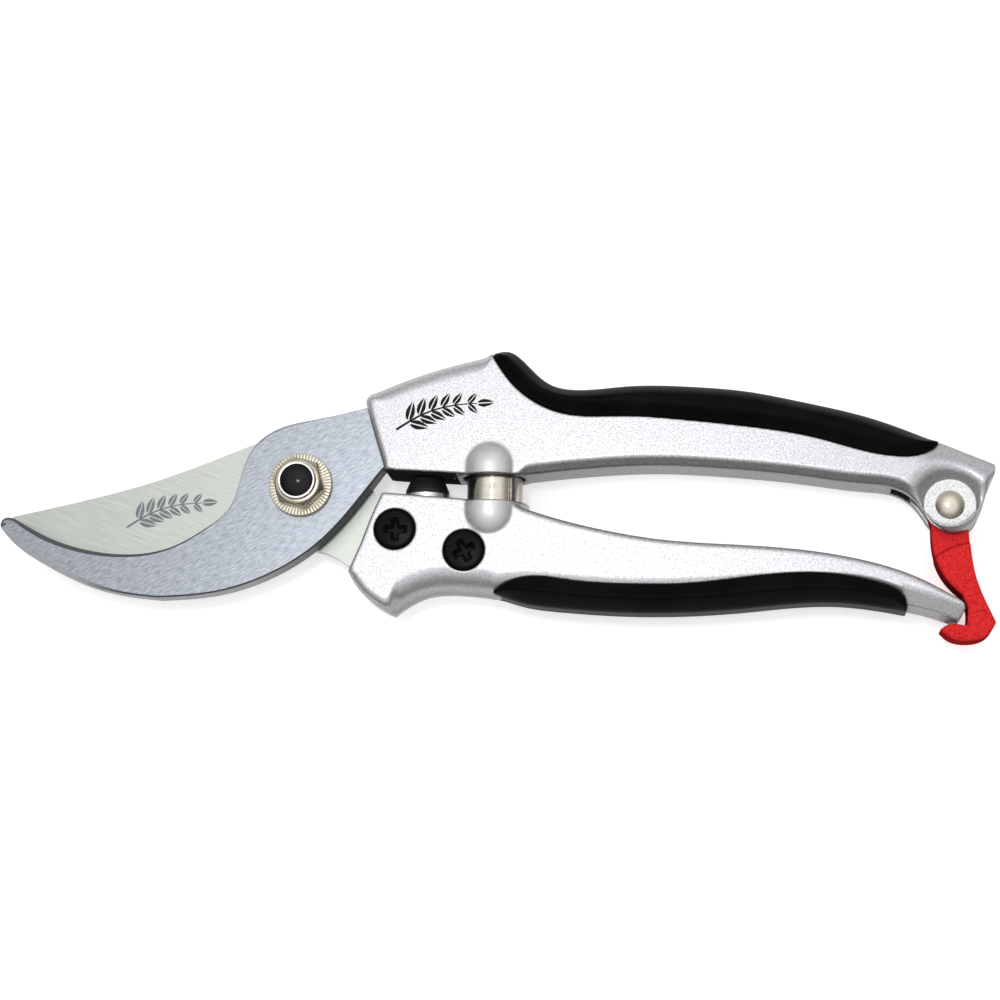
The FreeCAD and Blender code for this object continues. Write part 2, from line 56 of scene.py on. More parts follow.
# ---- outlines: (points, rounding of the rim, chamfer of the rim) ----
UPPER = [
    ([(13.3, 18.1), (15.1, 11.8), (16.9, 6.2), (17.9, 3.0)], 1.5, 0.0),
    ([(17.9, 3.0), (34.6, 2.1)], 0.5, 0.0),
    ([(34.6, 2.1), (46.3, 2.0)], 0.4, 0.0),
    ([(46.3, 2.0), (54.4, 2.9), (62.5, 3.6), (75.6, 4.1), (88.0, 3.5), (104.6, 1.9), (118.0, 0.2),
      (124.6, -0.9), (128.2, -3.4), (131.2, -7.6), (135.6, -10.0), (140.1, -7.8), (142.1, -3.0),
      (144.4, 2.6)], 0.4, 1.7),
    ([(144.4, 2.6), (144.5, 4.4)], 0.4, 0.3),
    ([(144.5, 4.4), (138.7, 6.8), (132.9, 9.2)], 0.3, 0.0),
    ([(132.9, 9.2), (131.4, 7.4)], 0.4, 0.0),
    ([(131.4, 7.4), (118.5, 11.9), (104.0, 15.5), (88.0, 18.1), (71.0, 19.0), (56.5, 18.3), (49.8, 21.0),
      (44.6, 24.8), (40.2, 28.2)], 0.5, 0.0),
    ([(40.2, 28.2), (31.0, 25.9), (20.4, 22.4), (15.2, 20.2)], 3.6, 0.0),
    ([(15.2, 20.2), (13.9, 19.4), (13.3, 18.1)], 2.4, 0.0),
]
LOWER = [
    ([(10.8, -18.6), (13.6, -11.9), (15.5, -6.6), (17.6, -1.8)], 0.6, 0.0),
    ([(17.6, -1.8), (34.2, -3.1)], 0.5, 0.0),
    ([(34.2, -3.1), (45.6, -4.5)], 0.5, 0.0),
    ([(45.6, -4.5), (53.0, -6.9), (63.4, -9.5), (75.8, -11.6), (90.0, -12.6), (104.0, -13.6),
      (116.0, -15.5), (127.7, -19.1), (136.6, -23.8)], 1.2, 0.0),
    ([(136.6, -23.8), (137.7, -25.2), (136.3, -28.2)], 0.4, 0.0),
    ([(136.3, -28.2), (131.0, -26.3), (126.2, -25.2)], 0.6, 0.0),
    ([(126.2, -25.2), (119.5, -22.6), (110.7, -21.8), (98.0, -22.7), (84.0, -24.0), (67.3, -24.1),
      (54.8, -23.3), (47.0, -22.9), (41.2, -23.4)], 5.0, 0.0),
    ([(41.2, -23.4), (33.5, -22.7), (27.0, -23.3), (20.2, -27.2)], 5.8, 0.0),
    ([(20.2, -27.2), (16.8, -25.3), (12.9, -22.0), (10.8, -18.6)], 1.9, 0.0),
]
UPPER_GRIP_OUT = [(132.9, 9.2), (119.2, 14.5), (104.7, 18.1), (94.3, 20.2), (81.7, 21.4), (68.0, 21.5),
                  (58.0, 20.8), (53.0, 21.7), (47.0, 26.7), (43.2, 29.2), (40.2, 28.6)]
UPPER_GRIP_IN = [(40.2, 27.5), (44.5, 21.4), (49.4, 17.4), (55.2, 15.0), (67.3, 14.4), (80.0, 13.6),
                 (94.3, 12.0), (108.0, 9.6), (124.6, 5.7), (129.6, 6.3), (132.9, 8.6)]
LOWER_GRIP_OUT = [(41.2, -22.9), (43.4, -23.6), (47.0, -24.7), (54.8, -25.8), (67.3, -26.6), (80.0, -26.6),
                  (92.2, -25.8), (103.0, -24.7), (112.0, -24.4), (126.2, -26.2)]
LOWER_GRIP_IN = [(126.2, -25.2), (125.4, -23.4), (120.6, -20.7), (107.0, -18.6), (94.3, -19.5), (82.0, -20.9),
                 (70.0, -21.1), (57.0, -20.3), (48.4, -19.6), (43.9, -20.9), (41.2, -22.6)]

HOOK_MOUTH = [(-61.8, -7.1), (-53.8, -11.3), (-45.0, -13.9), (-37.0, -14.7), (-27.7, -13.2), (-19.3, -8.5)]
HOOK_THROAT = [(-19.3, -8.5), (-15.2, -4.6), (-13.4, 0.6), (-10.1, 9.1), (-5.1, 12.6), (3.0, 14.5),
               (14.0, 17.0)]
HOOK_BACK = [(17.3, 3.6), (11.9, -3.7), (5.7, -10.8), (-4.8, -18.3), (-17.5, -22.8), (-30.0, -24.0)]
HOOK_BACK_TIP = [(-30.0, -24.0), (-42.5, -22.1), (-54.8, -16.9), (-62.4, -11.7), (-64.6, -9.3)]
HOOK_NOSE = [(-64.6, -9.3), (-65.0, -8.3), (-64.85, -7.4), (-64.1, -6.8), (-63.0, -6.75), (-61.8, -7.1)]
HOOK_TANG = [(14.0, 17.0), (40.0, 21.0), (41.0, 12.5), (24.0, 9.5), (17.3, 3.6)]


# ---- curves and distance fields in the XY plane ----
def smooth_line(points, spacing=0.7):
    """Points along a natural cubic curve through the given ones, or along a straight run of two."""
    p = np.array(points, float)
    t = np.concatenate([[0.0], np.cumsum(np.hypot(*np.diff(p, axis=0).T))])
    count = max(2, int(math.ceil(t[-1] / spacing)) + 1)
    s = np.linspace(0, t[-1], count)
    if len(p) == 2:
        return p[0] + (p[1] - p[0]) * (s / t[-1])[:, None]
    h = np.diff(t)
    a = np.eye(len(p))
    rhs = np.zeros_like(p)
    for i in range(1, len(p) - 1):
        a[i, i - 1], a[i, i], a[i, i + 1] = h[i - 1], 2 * (h[i - 1] + h[i]), h[i]
        rhs[i] = 6 * ((p[i + 1] - p[i]) / h[i] - (p[i] - p[i - 1]) / h[i - 1])
    m = np.linalg.solve(a, rhs)
    k = np.clip(np.searchsorted(t, s, side="right") - 1, 0, len(h) - 1)
    u, v, hk = (s - t[k])[:, None], (t[k + 1] - s)[:, None], h[k][:, None]
    return (m[k] * v ** 3 + m[k + 1] * u ** 3) / (6 * hk) + (p[k] / hk - m[k] * hk / 6) * v \
        + (p[k + 1] / hk - m[k + 1] * hk / 6) * u


def loop(runs):
    """A closed outline as points, with the rounding and the chamfer that go with each."""
    xy, values = [], []
    for points, rounding, chamfer in runs:
        line = smooth_line(points)
        if xy and np.hypot(*(xy[-1][-1] - line[0])) < 1e-6:
            line = line[1:]
        xy.append(line)
        values.append(np.tile([rounding, chamfer], (len(line), 1)))
    xy, values = np.concatenate(xy), np.concatenate(values)
    if np.hypot(*(xy[-1] - xy[0])) < 1e-6:
        xy, values = xy[:-1], values[:-1]
    return xy, values


class Plan:
    """On a grid of points, the distance to a closed outline, less than 0 inside, and its rim's values."""

    def __init__(self, xy, values, low, high, step):
        self.low, self.high, self.step = np.array(low, float), np.array(high, float), step
        gx = np.arange(low[0], high[0] + step, step)
        gy = np.arange(low[1], high[1] + step, step)
        self.shape = (len(gx), len(gy))
        px, py = (g.ravel() for g in np.meshgrid(gx, gy, indexing="ij"))
        best = np.full(px.shape, 1e9)
        near = np.zeros(px.shape, int)
        inside = np.zeros(px.shape, bool)
        following = np.roll(xy, -1, axis=0)
        for i, ((ax, ay), (bx, by)) in enumerate(zip(xy, following)):
            dx, dy = bx - ax, by - ay
            t = np.clip(((px - ax) * dx + (py - ay) * dy) / (dx * dx + dy * dy), 0, 1)
            d = (px - ax - t * dx) ** 2 + (py - ay - t * dy) ** 2
            closer = d < best
            best[closer], near[closer] = d[closer], i
            if ay != by:
                inside ^= ((ay > py) != (by > py)) & (px < dx * (py - ay) / dy + ax)
        distance = np.sqrt(best) * np.where(inside, -1, 1)
        self.fields = {"distance": distance.reshape(self.shape)}
        for name, column in zip(("rounding", "chamfer"), values.T):
            field = column[near].reshape(self.shape)
            for _ in range(12):
                for axis in (0, 1):
                    field = (np.roll(field, 1, axis) + field + np.roll(field, -1, axis)) / 3
            self.fields[name] = field

    def at(self, name, x, y):
        """The field at any points, read between the grid's."""
        field = self.fields[name]
        u = np.clip((x - self.low[0]) / self.step, 0, self.shape[0] - 1.001)
        v = np.clip((y - self.low[1]) / self.step, 0, self.shape[1] - 1.001)
        i, j = u.astype(int), v.astype(int)
        u, v = u - i, v - j
        return (field[i, j] * (1 - u) * (1 - v) + field[i + 1, j] * u * (1 - v)
                + field[i, j + 1] * (1 - u) * v + field[i + 1, j + 1] * u * v)


# ---- blends of distance fields ----
def both(a, b, r):
    """Where a and b overlap, with the edge between them eased over r."""
    return np.maximum(a, b) + 0.25 * np.maximum(r - np.abs(a - b), 0) ** 2 / r


def either(a, b, r):
    return -both(-a, -b, r)


def less(a, b, r):
    """a with b taken away."""
    return both(a, -b, r)


def rolled(a, b, r):
    """Where a and b overlap, with a true quarter round of radius r between them."""
    return np.minimum(np.maximum(a, b) + r, 0) + np.hypot(np.maximum(a + r, 0), np.maximum(b + r, 0)) - r


def ease(x):
    x = np.clip(x, 0, 1)
    return x * x * (3 - 2 * x)


# ---- from a field to a mesh ----
def put(name, data):
    """A new object in the scene."""
    piece = bpy.data.objects.new(name, data)
    bpy.context.scene.collection.objects.link(piece)
    return piece


def skin(name, f, low, high, step):
    """A closed mesh where f is 0: a point in each cell that f crosses, and a face at each crossed edge."""
    low, high = np.array(low, float), np.array(high, float)
    counts = np.ceil((high - low) / step).astype(int) + 1
    axes = [low[k] + step * np.arange(counts[k]) for k in range(3)]
    value = f(axes[0][:, None, None], axes[1][None, :, None], axes[2][None, None, :])
    value = np.broadcast_to(value, counts).astype(np.float32)
    cells = counts - 1
    total = np.zeros((3,) + tuple(cells), np.float32)
    hits = np.zeros(tuple(cells), np.int16)
    crossings = []
    for axis in range(3):
        a = value[tuple(slice(0, -1) if k == axis else slice(None) for k in range(3))]
        b = value[tuple(slice(1, None) if k == axis else slice(None) for k in range(3))]
        crossed = (a < 0) != (b < 0)
        t = np.where(crossed, a / np.where(crossed, a - b, 1), 0).astype(np.float32)
        crossings.append((crossed, a < 0))
        others = [k for k in range(3) if k != axis]
        for du in (0, 1):
            for dv in (0, 1):
                cut = [slice(None)] * 3
                cut[others[0]] = slice(du, cells[others[0]] + du)
                cut[others[1]] = slice(dv, cells[others[1]] + dv)
                c = crossed[tuple(cut)]
                hits += c
                total[axis] += t[tuple(cut)]
                total[others[0]] += c * np.float32(du)
                total[others[1]] += c * np.float32(dv)
    active = hits > 0
    index = np.full(tuple(cells), -1, np.int64)
    index[active] = np.arange(active.sum())
    where = np.argwhere(active)
    points = low + step * (where + (total[:, active] / hits[active]).T)
    faces = []
    for axis, (crossed, outward) in enumerate(crossings):
        others = [k for k in range(3) if k != axis]
        cut = [slice(None)] * 3
        cut[others[0]] = slice(1, cells[others[0]])
        cut[others[1]] = slice(1, cells[others[1]])
        at = np.argwhere(crossed[tuple(cut)])
        way = outward[tuple(cut)][tuple(at.T)]
        at[:, others[0]] += 1
        at[:, others[1]] += 1
        ring = []
        for du, dv in ((1, 1), (0, 1), (0, 0), (1, 0)):
            c = at.copy()
            c[:, others[0]] -= du
            c[:, others[1]] -= dv
            ring.append(index[tuple(c.T)])
        quad = np.stack(ring, 1)
        if axis == 1:
            way = ~way
        quad[~way] = quad[~way][:, ::-1]
        faces.append(quad)
    faces = np.concatenate(faces)
    points = settle(f, points, step)
    return make_mesh(name, points, faces)


def settle(f, points, step):
    """Moves points onto the surface where f is 0, along its slope."""
    e = 0.02
    for _ in range(3):
        x, y, z = points.T
        v = f(x, y, z)
        g = np.stack([f(x + e, y, z) - f(x - e, y, z), f(x, y + e, z) - f(x, y - e, z),
                      f(x, y, z + e) - f(x, y, z - e)], 1) / (2 * e)
        move = -g * (v / np.maximum((g ** 2).sum(1), 0.2))[:, None]
        size = np.linalg.norm(move, axis=1)
        points = points + move * np.minimum(1, 0.6 * step / np.maximum(size, 1e-9))[:, None]
    return points


def make_mesh(name, points, faces):
    mesh = bpy.data.meshes.new(name)
    mesh.vertices.add(len(points))
    mesh.vertices.foreach_set("co", (points * MM).astype(np.float32).ravel())
    mesh.loops.add(faces.size)
    mesh.loops.foreach_set("vertex_index", faces.ravel().astype(np.int32))
    mesh.polygons.add(len(faces))
    mesh.polygons.foreach_set("loop_start", np.arange(0, faces.size, faces.shape[1], dtype=np.int32))
    mesh.update(calc_edges=True)
    mesh.polygons.foreach_set("use_smooth", np.ones(len(faces), bool))
    return put(name, mesh)


# ---- the castings ----
SPRING_X, SOCKET_R, SOCKET_DEPTH, SOCKET_WALL = 40.6, 6.6, 6.0, 0.9
BULGE_X, BULGE_R = 40.1, 8.0
UPPER_BULGE = (2.0, 3.9)    # the Y of a bulge's mouth and of its ball end's centre
LOWER_BULGE = (-3.6, -5.7)
GRIP_SEAT = 4.6             # half the thickness that is left between a grip's seats
EYE_X, EYE_Y = 135.1, -4.1  # the latch's axis
LOWER_SCREWS = [(20.5, -9.7), (35.1, -14.1)]
UPPER_SCREWS = [(22.5, 12.0), (35.0, 17.5)]
HEAD_BORE, HEAD_SEAT = 4.36, 11.9
SHANK_BORE, SHANK_END = 2.4, 2.3
PLAN_MARGIN = 3.0           # free ground round an outline in its plan
LOW_TRIM, HIGH_TRIM = 2.5, 2.4  # how much of that the box to polygonise leaves out
CAST_LOW, CAST_HIGH = -0.45, 16.5


def plan_of(runs):
    xy, values = loop(runs)
    return Plan(xy, values, xy.min(0) - PLAN_MARGIN, xy.max(0) + PLAN_MARGIN, min(STEP, 0.3))


def plan_box(plan, z_low, z_high):
    """The corners of the box to polygonise for a shape with this plan."""
    low, high = plan.low + LOW_TRIM, plan.high - HIGH_TRIM
    return (low[0], low[1], z_low), (high[0], high[1], z_high)


def casting(plan, x, y, z):
    """A plate with its rims rounded and chamfered as its outline says."""
    d, q = plan.at("distance", x, y), np.abs(z - MID) - CAST_HALF
    body = rolled(d, q, plan.at("rounding", x, y))
    return both(body, (d + q + plan.at("chamfer", x, y)) * math.sqrt(0.5), 0.4)


def bulge(x, y, z, mouth_y, ball_y):
    """The round boss over a spring socket, as a barrel with a ball end."""
    low, high = min(mouth_y, ball_y), max(mouth_y, ball_y)
    return np.sqrt((x - BULGE_X) ** 2 + (y - np.clip(y, low, high)) ** 2 + (z - MID) ** 2) - BULGE_R


def with_socket(body, x, y, z, mouth_y, ball_y):
    """The casting with its spring socket, whose wall stays at least SOCKET_WALL thick."""
    side = math.copysign(1, ball_y - mouth_y)
    boss = bulge(x, y, z, mouth_y, ball_y)
    body = either(body, both(boss, side * (mouth_y - y), 0.3), 0.15)
    tube = both(np.hypot(x - SPRING_X, z - MID) - SOCKET_R, side * (y - mouth_y) - SOCKET_DEPTH, 0.3)
    return less(body, both(tube, boss + SOCKET_WALL, 0.3), 0.3)


def bore(x, y, centre, radius):
    return np.hypot(x - centre[0], y - centre[1]) - radius


HOOK_RUNS = [HOOK_MOUTH, HOOK_THROAT, *[list(pair) for pair in zip(HOOK_TANG, HOOK_TANG[1:])], HOOK_BACK,
             HOOK_BACK_TIP, HOOK_NOSE]
upper_plan = plan_of(UPPER)
lower_plan = plan_of(LOWER)
upper_grip_plan = plan_of([(UPPER_GRIP_OUT, 4.0, 0.0), (UPPER_GRIP_IN, 0.5, 0.0)])
lower_grip_plan = plan_of([(LOWER_GRIP_OUT, 4.0, 0.0), (LOWER_GRIP_IN, 0.5, 0.0)])
hook_plan = plan_of([(run, 0.0, 0.0) for run in HOOK_RUNS])

# Sloped end faces: the edge's two ends with the outside on its right, the face's width and its slope
CROWN = ((144.5, 4.4), (132.9, 9.2), 5.0, math.radians(22))
STUB = ((126.2, -25.2), (136.3, -28.2), 3.7, math.radians(27))
STUB_X = 125.4              # where the stub's face starts


def facet(edge, x, y, z):
    """Above 0 beyond the sloped face that starts a width inside an edge."""
    (ax, ay), (bx, by), width, slope = edge
    length = math.hypot(bx - ax, by - ay)
    out = ((x - ax) * (by - ay) - (y - ay) * (bx - ax)) / length
    return (out + width) * math.sin(slope) + (np.abs(z - MID) - CAST_HALF) * math.cos(slope)


FORK_HALF, FORK_X, FORK_Y = 2.6, 123.4, 3.0


def fork(x, y, z):
    """The slot that the latch hangs in."""
    return both(both(np.abs(z - MID) - FORK_HALF, y - FORK_Y, 0.3), FORK_X - x, 0.3)


# The recess round the latch's axis: what changes from its upper to its lower rim, eased over RECESS_EASE
RECESS_SLOPE, RECESS_ROUNDING, RECESS_RISE = (1.06, 0.20), (1.4, 0.4), (0.0, 1.3)
RECESS_EASE = 5.0
RECESS_R, RECESS_FLOOR = 5.4, 3.7
POCKET_R, POCKET_TOP = 5.35, 4.4


def with_recess(body, x, y, z):
    """The casting with a sunk cone whose lower rim stands steeper, and the pocket of the washers."""
    far = np.abs(z - MID)
    lean = ease((EYE_Y - y) / RECESS_EASE + 0.5)
    slope, rounding, rise = (a + (b - a) * lean for a, b in (RECESS_SLOPE, RECESS_ROUNDING, RECESS_RISE))
    reach = np.hypot(x - EYE_X, y - EYE_Y - rise)
    flare = (reach - RECESS_R - slope * (far - RECESS_FLOOR)) / np.hypot(1.0, slope)
    body = less(body, both(flare, RECESS_FLOOR - far, 0.2), rounding)
    layer = both(RECESS_FLOOR - far, far - POCKET_TOP, 0.05)
    return less(body, both(bore(x, y, (EYE_X, EYE_Y), POCKET_R), layer, 0.05), 0.05)


def with_grip_seat(body, plan, x, y, z):
    return less(body, both(plan.at("distance", x, y), GRIP_SEAT - np.abs(z - MID), 0.2), 0.2)


def with_screw_bores(body, centres, x, y, z):
    """The casting with a counterbored hole for each screw, driven along -Z."""
    for centre in centres:
        body = less(body, both(bore(x, y, centre, HEAD_BORE), HEAD_SEAT - z, 0.1), 0.3)
        body = less(body, both(bore(x, y, centre, SHANK_BORE), SHANK_END - z, 0.1), 0.1)
    return body


# The seats of the counter blade's tang and of the stop, and the notch that the latch's claw enters
HOOK_SEAT_Z, HOOK_SEAT_HALF, HOOK_SEAT_GAP = 9.525, 2.5, 0.04
STOP_X, STOP_R, STOP_Y = 26.4, 4.95, -2.62
NOTCH_HALF, NOTCH_X, NOTCH_Y = 3.8, 133.2, -26.9


def upper_handle(x, y, z):
    body = both(casting(upper_plan, x, y, z), facet(CROWN, x, y, z), 0.6)
    body = with_socket(body, x, y, z, *UPPER_BULGE)
    body = with_recess(body, x, y, z)
    body = less(body, fork(x, y, z), 0.25)
    body = with_grip_seat(body, upper_grip_plan, x, y, z)
    tang = hook_plan.at("distance", x, y) - HOOK_SEAT_GAP
    body = less(body, both(tang, np.abs(z - HOOK_SEAT_Z) - HOOK_SEAT_HALF, 0.05), 0.15)
    return with_screw_bores(body, UPPER_SCREWS, x, y, 2 * MID - z)


def lower_handle(x, y, z):
    body = casting(lower_plan, x, y, z)
    body = less(body, both(-facet(STUB, x, y, z), STUB_X - x, 0.5), 0.4)
    body = with_socket(body, x, y, z, *LOWER_BULGE)
    body = with_grip_seat(body, lower_grip_plan, x, y, z)
    stop = both(np.hypot(x - STOP_X, z - MID) - STOP_R, STOP_Y - y, 0.1)
    body = less(body, stop, 0.2)
    notch = both(both(np.abs(z - MID) - NOTCH_HALF, y - NOTCH_Y, 0.2), NOTCH_X - x, 0.2)
    body = less(body, notch, 0.3)
    return with_screw_bores(body, LOWER_SCREWS, x, y, z)


# ---- the grips ----
GRIP_START, GRIP_LIFT, GRIP_SWELL = 0.1, 1.4, 3.2
GRIP_GAP = 0.03             # between a grip and its casting


def grip(plan, handle, x, y, z):
    """A soft moulding that starts nearly flush with the casting's face and swells away from its rim."""
    d = plan.at("distance", x, y)
    q = np.abs(z - MID) - CAST_HALF - GRIP_START - GRIP_LIFT * ease(-d / GRIP_SWELL)
    body = rolled(d, q, plan.at("rounding", x, y))
    return less(body, handle(x, y, z) - GRIP_GAP, 0.1)


SIDES = (("upper", upper_handle, upper_plan, upper_grip_plan),
         ("lower", lower_handle, lower_plan, lower_grip_plan))
pieces = {}
for side, handle, plan, _ in SIDES:
    pieces[f"{side}_handle"] = skin(f"{side}_casting", handle, *plan_box(plan, CAST_LOW, CAST_HIGH), STEP)
for side, handle, _, grip_plan in SIDES:
    pieces[f"{side}_grip"] = skin(f"{side}_grip_cover", lambda x, y, z: grip(grip_plan, handle, x, y, z),
                                  *plan_box(grip_plan, CAST_LOW, CAST_HIGH), STEP)


# ---- the counter blade: a plate with ground bevels ----
HOOK_REAR, HOOK_FRONT = 7.05, 12.0


def inward(xy):
    """Unit directions that point into a closed anticlockwise outline, one for each point."""
    ahead, behind = np.roll(xy, -1, axis=0) - xy, xy - np.roll(xy, 1, axis=0)
    ahead /= np.linalg.norm(ahead, axis=1)[:, None]
    behind /= np.linalg.norm(behind, axis=1)[:, None]
    mean = ahead + behind
    mean /= np.maximum(np.linalg.norm(mean, axis=1), 0.2)[:, None]
    return np.stack([-mean[:, 1], mean[:, 0]], 1)


def plate(name, xy, rings, holes=()):
    """A closed plate: rings are (inset of each point, z of each point) from the rear to the front."""
    if np.sum(xy[:, 0] * np.roll(xy[:, 1], -1) - np.roll(xy[:, 0], -1) * xy[:, 1]) < 0:
        xy = xy[::-1]
        rings = [tuple(r[::-1] if np.ndim(r) else r for r in ring) for ring in rings]
    normal = inward(xy)
    bm = bmesh.new()

    def wall(levels):
        for a, b in zip(levels, levels[1:]):
            for i in range(len(a)):
                j = (i + 1) % len(a)
                bm.faces.new((a[i], a[j], b[j], b[i]))

    levels = []
    for inset, z in rings:
        place = (xy + normal * np.broadcast_to(inset, len(xy))[:, None]) * MM
        height = np.broadcast_to(z, len(xy)) * MM
        levels.append([bm.verts.new((px, py, pz)) for (px, py), pz in zip(place, height)])
    wall(levels)
    ends = [[levels[0]], [levels[-1]]]
    for hx, hy, radius in holes:
        angles = np.linspace(0, -2 * math.pi, 49)[:-1]
        circle = []
        for z in (np.max(rings[0][1]), np.max(rings[-1][1])):
            spots = [(hx + radius * math.cos(a), hy + radius * math.sin(a), z) for a in angles]
            circle.append([bm.verts.new(Vector(spot) * MM) for spot in spots])
        wall(circle)
        for end, ring in zip(ends, circle):
            end.append(ring)
    for end in ends:
        edges = []
        for ring in end:
            for i in range(len(ring)):
                edges.append(bm.edges.get((ring[i], ring[(i + 1) % len(ring)])))
        bmesh.ops.triangle_fill(bm, use_beauty=True, use_dissolve=False, edges=edges)
    bmesh.ops.recalc_face_normals(bm, faces=bm.faces)
    mesh = bpy.data.meshes.new(name)
    bm.to_mesh(mesh)
    bm.free()
    mesh.polygons.foreach_set("use_smooth", np.ones(len(mesh.polygons), bool))
    mesh.set_sharp_from_angle(angle=math.radians(14))
    return put(name, mesh)


# Widths of the bevel: places along X, or along the run for the nose, and the width at each
MOUTH_BEVEL = ([-61.8, -60.0, -56.0, -45.0, -36.0, -26.0, -19.3], [0.6, 0.8, 1.0, 0.95, 0.7, 0.45, 0.3])
THROAT_BEVEL = ([-19.3, -15.0, -13.0, -9.0, -3.0, 4.0, 14.0], [0.3, 0.15, 0.2, 0.6, 0.6, 0.25, 0.15])
BACK_BEVEL = ([-64.6, -60.0, -55.0, -50.0, -43.0, -36.0, 0.0, 13.0, 17.3],
              [1.7, 1.7, 1.5, 1.15, 0.7, 0.35, 0.3, 0.45, 0.3])
NOSE_BEVEL = ([0, 3.5], [1.6, 0.6])
TANG_BEVEL = 0.12
HOOK_RIM = 0.1              # the small chamfer at the rear
PIVOT_R = 4.0


def smoothed(values, times):
    for _ in range(times):
        values = (np.roll(values, 1) + values + np.roll(values, -1)) / 3
    return values


def hook():
    """The hook with its tang. The mouth's bevel is at 45 degrees, and the back's is shallower where wide."""
    xy, width = [], []
    for run in HOOK_RUNS:
        line = smooth_line(run, 0.4)[:-1]
        xy.append(line)
        if run in (HOOK_MOUTH, HOOK_THROAT):
            width.append(np.interp(line[:, 0], *(MOUTH_BEVEL if run is HOOK_MOUTH else THROAT_BEVEL)))
        elif run in (HOOK_BACK, HOOK_BACK_TIP):
            width.append(np.interp(line[:, 0], *BACK_BEVEL))
        elif run is HOOK_NOSE:
            width.append(np.interp(np.hypot(*(line - line[0]).T), *NOSE_BEVEL))
        else:
            width.append(np.full(len(line), TANG_BEVEL))
    xy, width = np.concatenate(xy), smoothed(np.concatenate(width), 6)
    in_mouth = np.abs(xy[:, 1] - np.interp(xy[:, 0], *np.array(HOOK_MOUTH).T)) < 1.0
    depth = smoothed(width * np.where(in_mouth, 1.0, np.interp(width, [0.5, 1.1], [1.0, 0.38])), 4)
    rings = [(HOOK_RIM, HOOK_REAR), (0.0, HOOK_REAR + HOOK_RIM),
             (0.0, HOOK_FRONT - depth), (width, HOOK_FRONT)]
    return plate("counter_blade_steel", xy, rings, [(0.0, 0.0, PIVOT_R)])


pieces["counter_blade"] = hook()


# ---- the latch: its outline, from the eye down to the claw and back ----
LATCH = [([(138.9, -8.0), (139.3, -13.0), (140.3, -19.0), (142.6, -25.0), (144.1, -28.2)], 0.8, 0.0),
         ([(144.1, -28.2), (142.4, -30.9), (138.3, -32.2), (134.4, -31.3), (132.8, -29.8)], 0.8, 0.0),
         ([(132.8, -29.8), (133.9, -29.0), (138.1, -29.0)], 0.4, 0.0),
         ([(138.1, -29.0), (138.35, -27.0), (138.1, -24.6), (137.3, -23.0)], 0.5, 0.0),
         ([(137.5, -22.9), (134.8, -20.3), (132.5, -16.6), (131.5, -12.6), (131.3, -8.0)], 0.8, 0.0),
         ([(131.3, -8.0), (130.7, EYE_Y), (EYE_X, 0.3), (139.5, EYE_Y), (138.9, -8.0)], 0.4, 0.0)]
latch_plan = plan_of(LATCH)
PANEL_TOP = [(129.0, -18.6), (131.7, -15.2), (136.2, -12.6), (141.5, -11.4)]
LATCH_MID, LATCH_HALF, PANEL_LIFT = 8.15, 2.35, 1.2
DIMPLE, DIMPLE_R, DIMPLE_DEPTH = (141.0, -27.2), 1.5, 0.25
RIVET_BORE = 2.05
LATCH_LOW, LATCH_HIGH, LATCH_STEP = 4.0, 12.3, 0.22


def latch(x, y, z):
    """A plate, thin at the eye inside the fork and thick below it, with a round dimple by its claw."""
    d = latch_plan.at("distance", x, y)
    line = smooth_line(PANEL_TOP, 1.0)
    below = np.interp(x, line[:, 0], line[:, 1]) - y
    dish = DIMPLE_DEPTH * ease(-bore(x, y, DIMPLE, DIMPLE_R) / 0.25)
    face = np.abs(z - LATCH_MID) - LATCH_HALF - PANEL_LIFT * ease(below / 0.9 + 0.5) + dish
    body = rolled(d, face, latch_plan.at("rounding", x, y))
    return less(body, bore(x, y, (EYE_X, EYE_Y), RIVET_BORE), 0.2)


pieces["latch"] = skin("latch_hook", latch, *plan_box(latch_plan, LATCH_LOW, LATCH_HIGH),
                       min(STEP, LATCH_STEP))


# ---- the tang screws ----
SCREW_TOP, HEAD_UNDER, HEAD_R, HEAD_DOME = 14.55, 11.95, 4.28, 0.014
SHANK_R, SHANK_TIP, SHANK_TOP = 2.3, 2.4, 12.2
ARM_LENGTH, ARM_HALF, ARM_FLOOR = 2.5, 0.72, 12.35
SCREW_STEP = 0.15


def screw(centre, turn, x, y, z):
    """A low domed head with a cross recess that narrows as it goes down, and the shank."""
    c, s = math.cos(turn), math.sin(turn)
    u, v = (x - centre[0]) * c + (y - centre[1]) * s, (y - centre[1]) * c - (x - centre[0]) * s
    r = np.hypot(u, v)
    down = SCREW_TOP - z
    head = both(rolled(r - HEAD_R, HEAD_DOME * r * r - down, 0.7), HEAD_UNDER - z, 0.1)
    long_u, long_v = (np.abs(w) - ARM_LENGTH + 0.35 * down for w in (u, v))
    thin_u, thin_v = (np.abs(w) - ARM_HALF + 0.14 * down for w in (u, v))
    arms = either(both(long_u, thin_v, 0.15), both(long_v, thin_u, 0.15), 0.25)
    cross = either(arms, r - 1.2 + 0.4 * down, 0.35)
    head = less(head, both(cross, ARM_FLOOR - z, 0.15), 0.25)
    shank = both(both(r - SHANK_R, SHANK_TIP - z, 0.2), z - SHANK_TOP, 0.1)
    return both(either(head, shank, 0.1), -down, 0.05)


SCREW_BOX, SCREW_LOW, SCREW_HIGH = 4.6, 2.1, 14.9
for count, ((cx, cy), turn) in enumerate(zip(LOWER_SCREWS, (0.0, 28.0)), 1):
    pieces[f"lower_tang_screw_{count}"] = skin(
        f"lower_screw_{count}", lambda x, y, z: screw((cx, cy), math.radians(turn), x, y, z),
        (cx - SCREW_BOX, cy - SCREW_BOX, SCREW_LOW), (cx + SCREW_BOX, cy + SCREW_BOX, SCREW_HIGH),
        SCREW_STEP)
